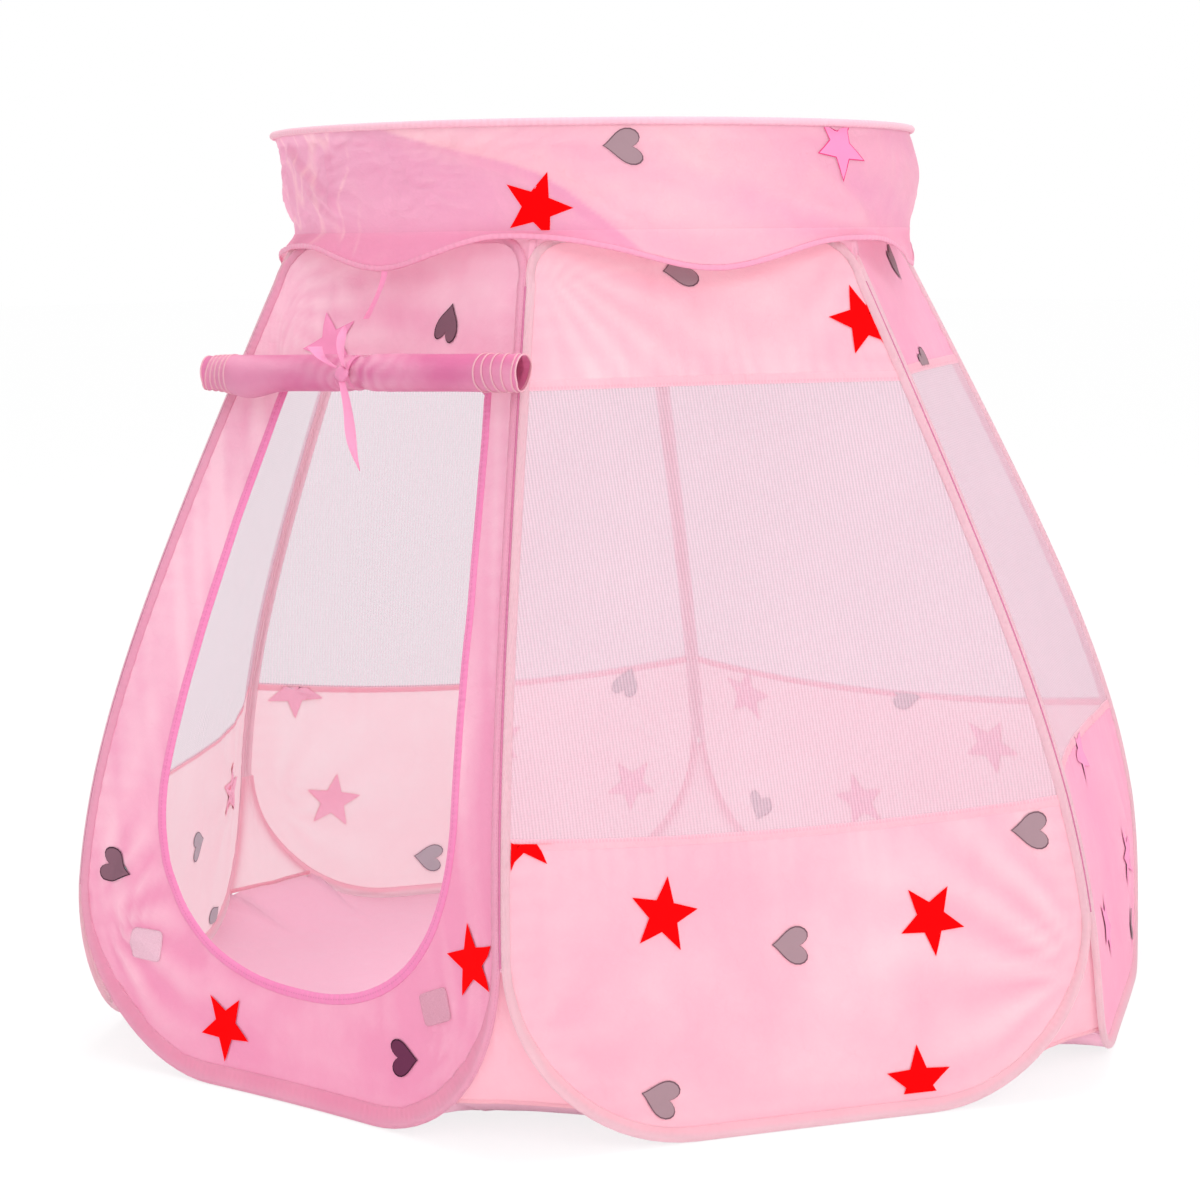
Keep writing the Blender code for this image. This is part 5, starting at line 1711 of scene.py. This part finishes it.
# %% Where the prints are
WALL_PRINTS = {
    0: (("star", -0.098, 0.059, 36), ("star", 0.258, 0.173, 15), ("heart", 0.075, 0.724, -10, "dark"),
        ("heart", -0.252, 0.196, 252, "dark"), ("heart", 0.161, 0.069, -85, "black"),
        ("star", -0.088, 0.704, 25, "worn")),
    1: (("star", 0.165, 0.724, 12), ("star", -0.134, 0.203, -14), ("star", 0.134, 0.178, 181),
        ("star", 0.108, 0.030, 0), ("star", -0.264, 0.285, 4), ("heart", -0.013, 0.775, 95),
        ("heart", -0.009, 0.165, 84), ("heart", 0.245, 0.252, 88), ("heart", -0.151, 0.042, 70)),
    2: (("star", 0.05, 0.262, 20, "worn"), ("heart", 0.08, 0.778, 200), ("star", 0.20, 0.12, 10, "worn"),
        ("heart", 0.03, 0.672, 200), ("heart", 0.17, 0.05, 80), ("star", -0.04, 0.10, 40, "worn")),
    3: (("star", 0.052, 0.121, -12), ("star", -0.131, 0.211, 30), ("star", 0.200, 0.240, 15),
        ("heart", -0.030, 0.262, 90), ("heart", 0.203, 0.096, 200), ("heart", -0.20, 0.08, 60),
        ("star", -0.05, 0.735, 20), ("heart", 0.12, 0.72, 150), ("star", -0.10, 0.05, 70)),
    4: (("star", 0.231, 0.270, 180), ("star", 0.188, 0.129, 10), ("heart", 0.069, 0.048, -80),
        ("heart", -0.191, 0.252, 20), ("star", -0.20, 0.12, 40), ("star", 0.09, 0.74, 0),
        ("heart", -0.07, 0.72, 30), ("star", -0.02, 0.19, 60)),
    5: (("heart", -0.083, 0.129, 80), ("heart", -0.160, 0.024, 60), ("star", -0.224, 0.164, 0),
        ("star", 0.10, 0.08, 35), ("star", 0.08, 0.73, 50), ("heart", -0.06, 0.74, 100),
        ("heart", 0.20, 0.20, 60)),
}
PRINT_LOW, DOOR_PRINT_LOW = 0.020, 0.0155
PRINT_PROUD, PRINT_SUNK, COLLAR_PRINT_PROUD = 0.0013, -0.0007, 0.0016
print("printed sides:", len(WALL_PRINTS))

# %% Prints on the walls
def wall_place(side, across, height, lift):
    """Place rule of a print on a wall, cut off at the sewn edges."""
    def place(x, y):
        rise = height + y
        if side and height < 0.5:
            share = (across + x) / wall_half(NET_LOW)
            rise = min(rise, NET_LOW - 0.001 - edge_dip(side, min(max(share, -1), 1), NET_LOW))
        if side and height > 0.5:
            rise = max(rise, NET_HIGH + 0.003)
        rise = min(max(rise, PRINT_LOW if side else DOOR_PRINT_LOW), HOOP_TOP - 0.0045)
        room = hoop_half(rise, sleeve_reach(side, rise) + 0.0006)
        return skin(side, min(max(across + x, -room), room), rise, lift)
    return place


for side, marks in WALL_PRINTS.items():
    outside, inside = [], []
    for kind, across, height, degrees, *tone in marks:
        ink = INK_OF[tone[0] if tone else kind]
        outside.append((kind, degrees, ink, wall_place(side, across, height, PRINT_PROUD)))
        inside.append((kind, degrees, FAINT_INK_OF[kind], wall_place(side, across, height, PRINT_SUNK)))
    print_piece("prints_outside_%d" % side, outside)
    print_piece("prints_inside_%d" % side, inside)
print("prints on the walls:", sum(len(marks) for marks in WALL_PRINTS.values()))

# %% Prints on the collar
COLLAR_PRINTS = (("star", 30.0, 0.834, -20, 0), ("heart", 45.1, 0.889, 88, 1),
                 ("star", 85.2, 0.890, 30, 6), ("star", 140.0, 0.86, 30, 0), ("heart", 175.0, 0.87, 20, 1),
                 ("star", 225.0, 0.85, 0, 0), ("heart", 262.0, 0.87, 140, 1), ("star", 310.0, 0.86, 45, 0))


def collar_place(degrees, height, lift):
    """Place rule of a print on the collar."""
    def place(x, y):
        turn = math.radians(degrees) + x / RING_OUTER
        rise = min(max(height + y, COLLAR_FOOT), TENT_HEIGHT - 2.2 * SLEEVE)
        return collar_point(turn, (rise - COLLAR_FOOT) / (TENT_HEIGHT - SLEEVE - COLLAR_FOOT), lift)
    return place


marks = [(kind, degrees, ink, collar_place(azimuth, height, COLLAR_PRINT_PROUD))
         for kind, azimuth, height, degrees, ink in COLLAR_PRINTS]
collar_prints = print_piece("prints_collar", marks)
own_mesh(collar_prints)
print("prints on the collar:", len(marks))

low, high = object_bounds()
print("visual box", [round(v, 4) for v in low], [round(v, 4) for v in high])
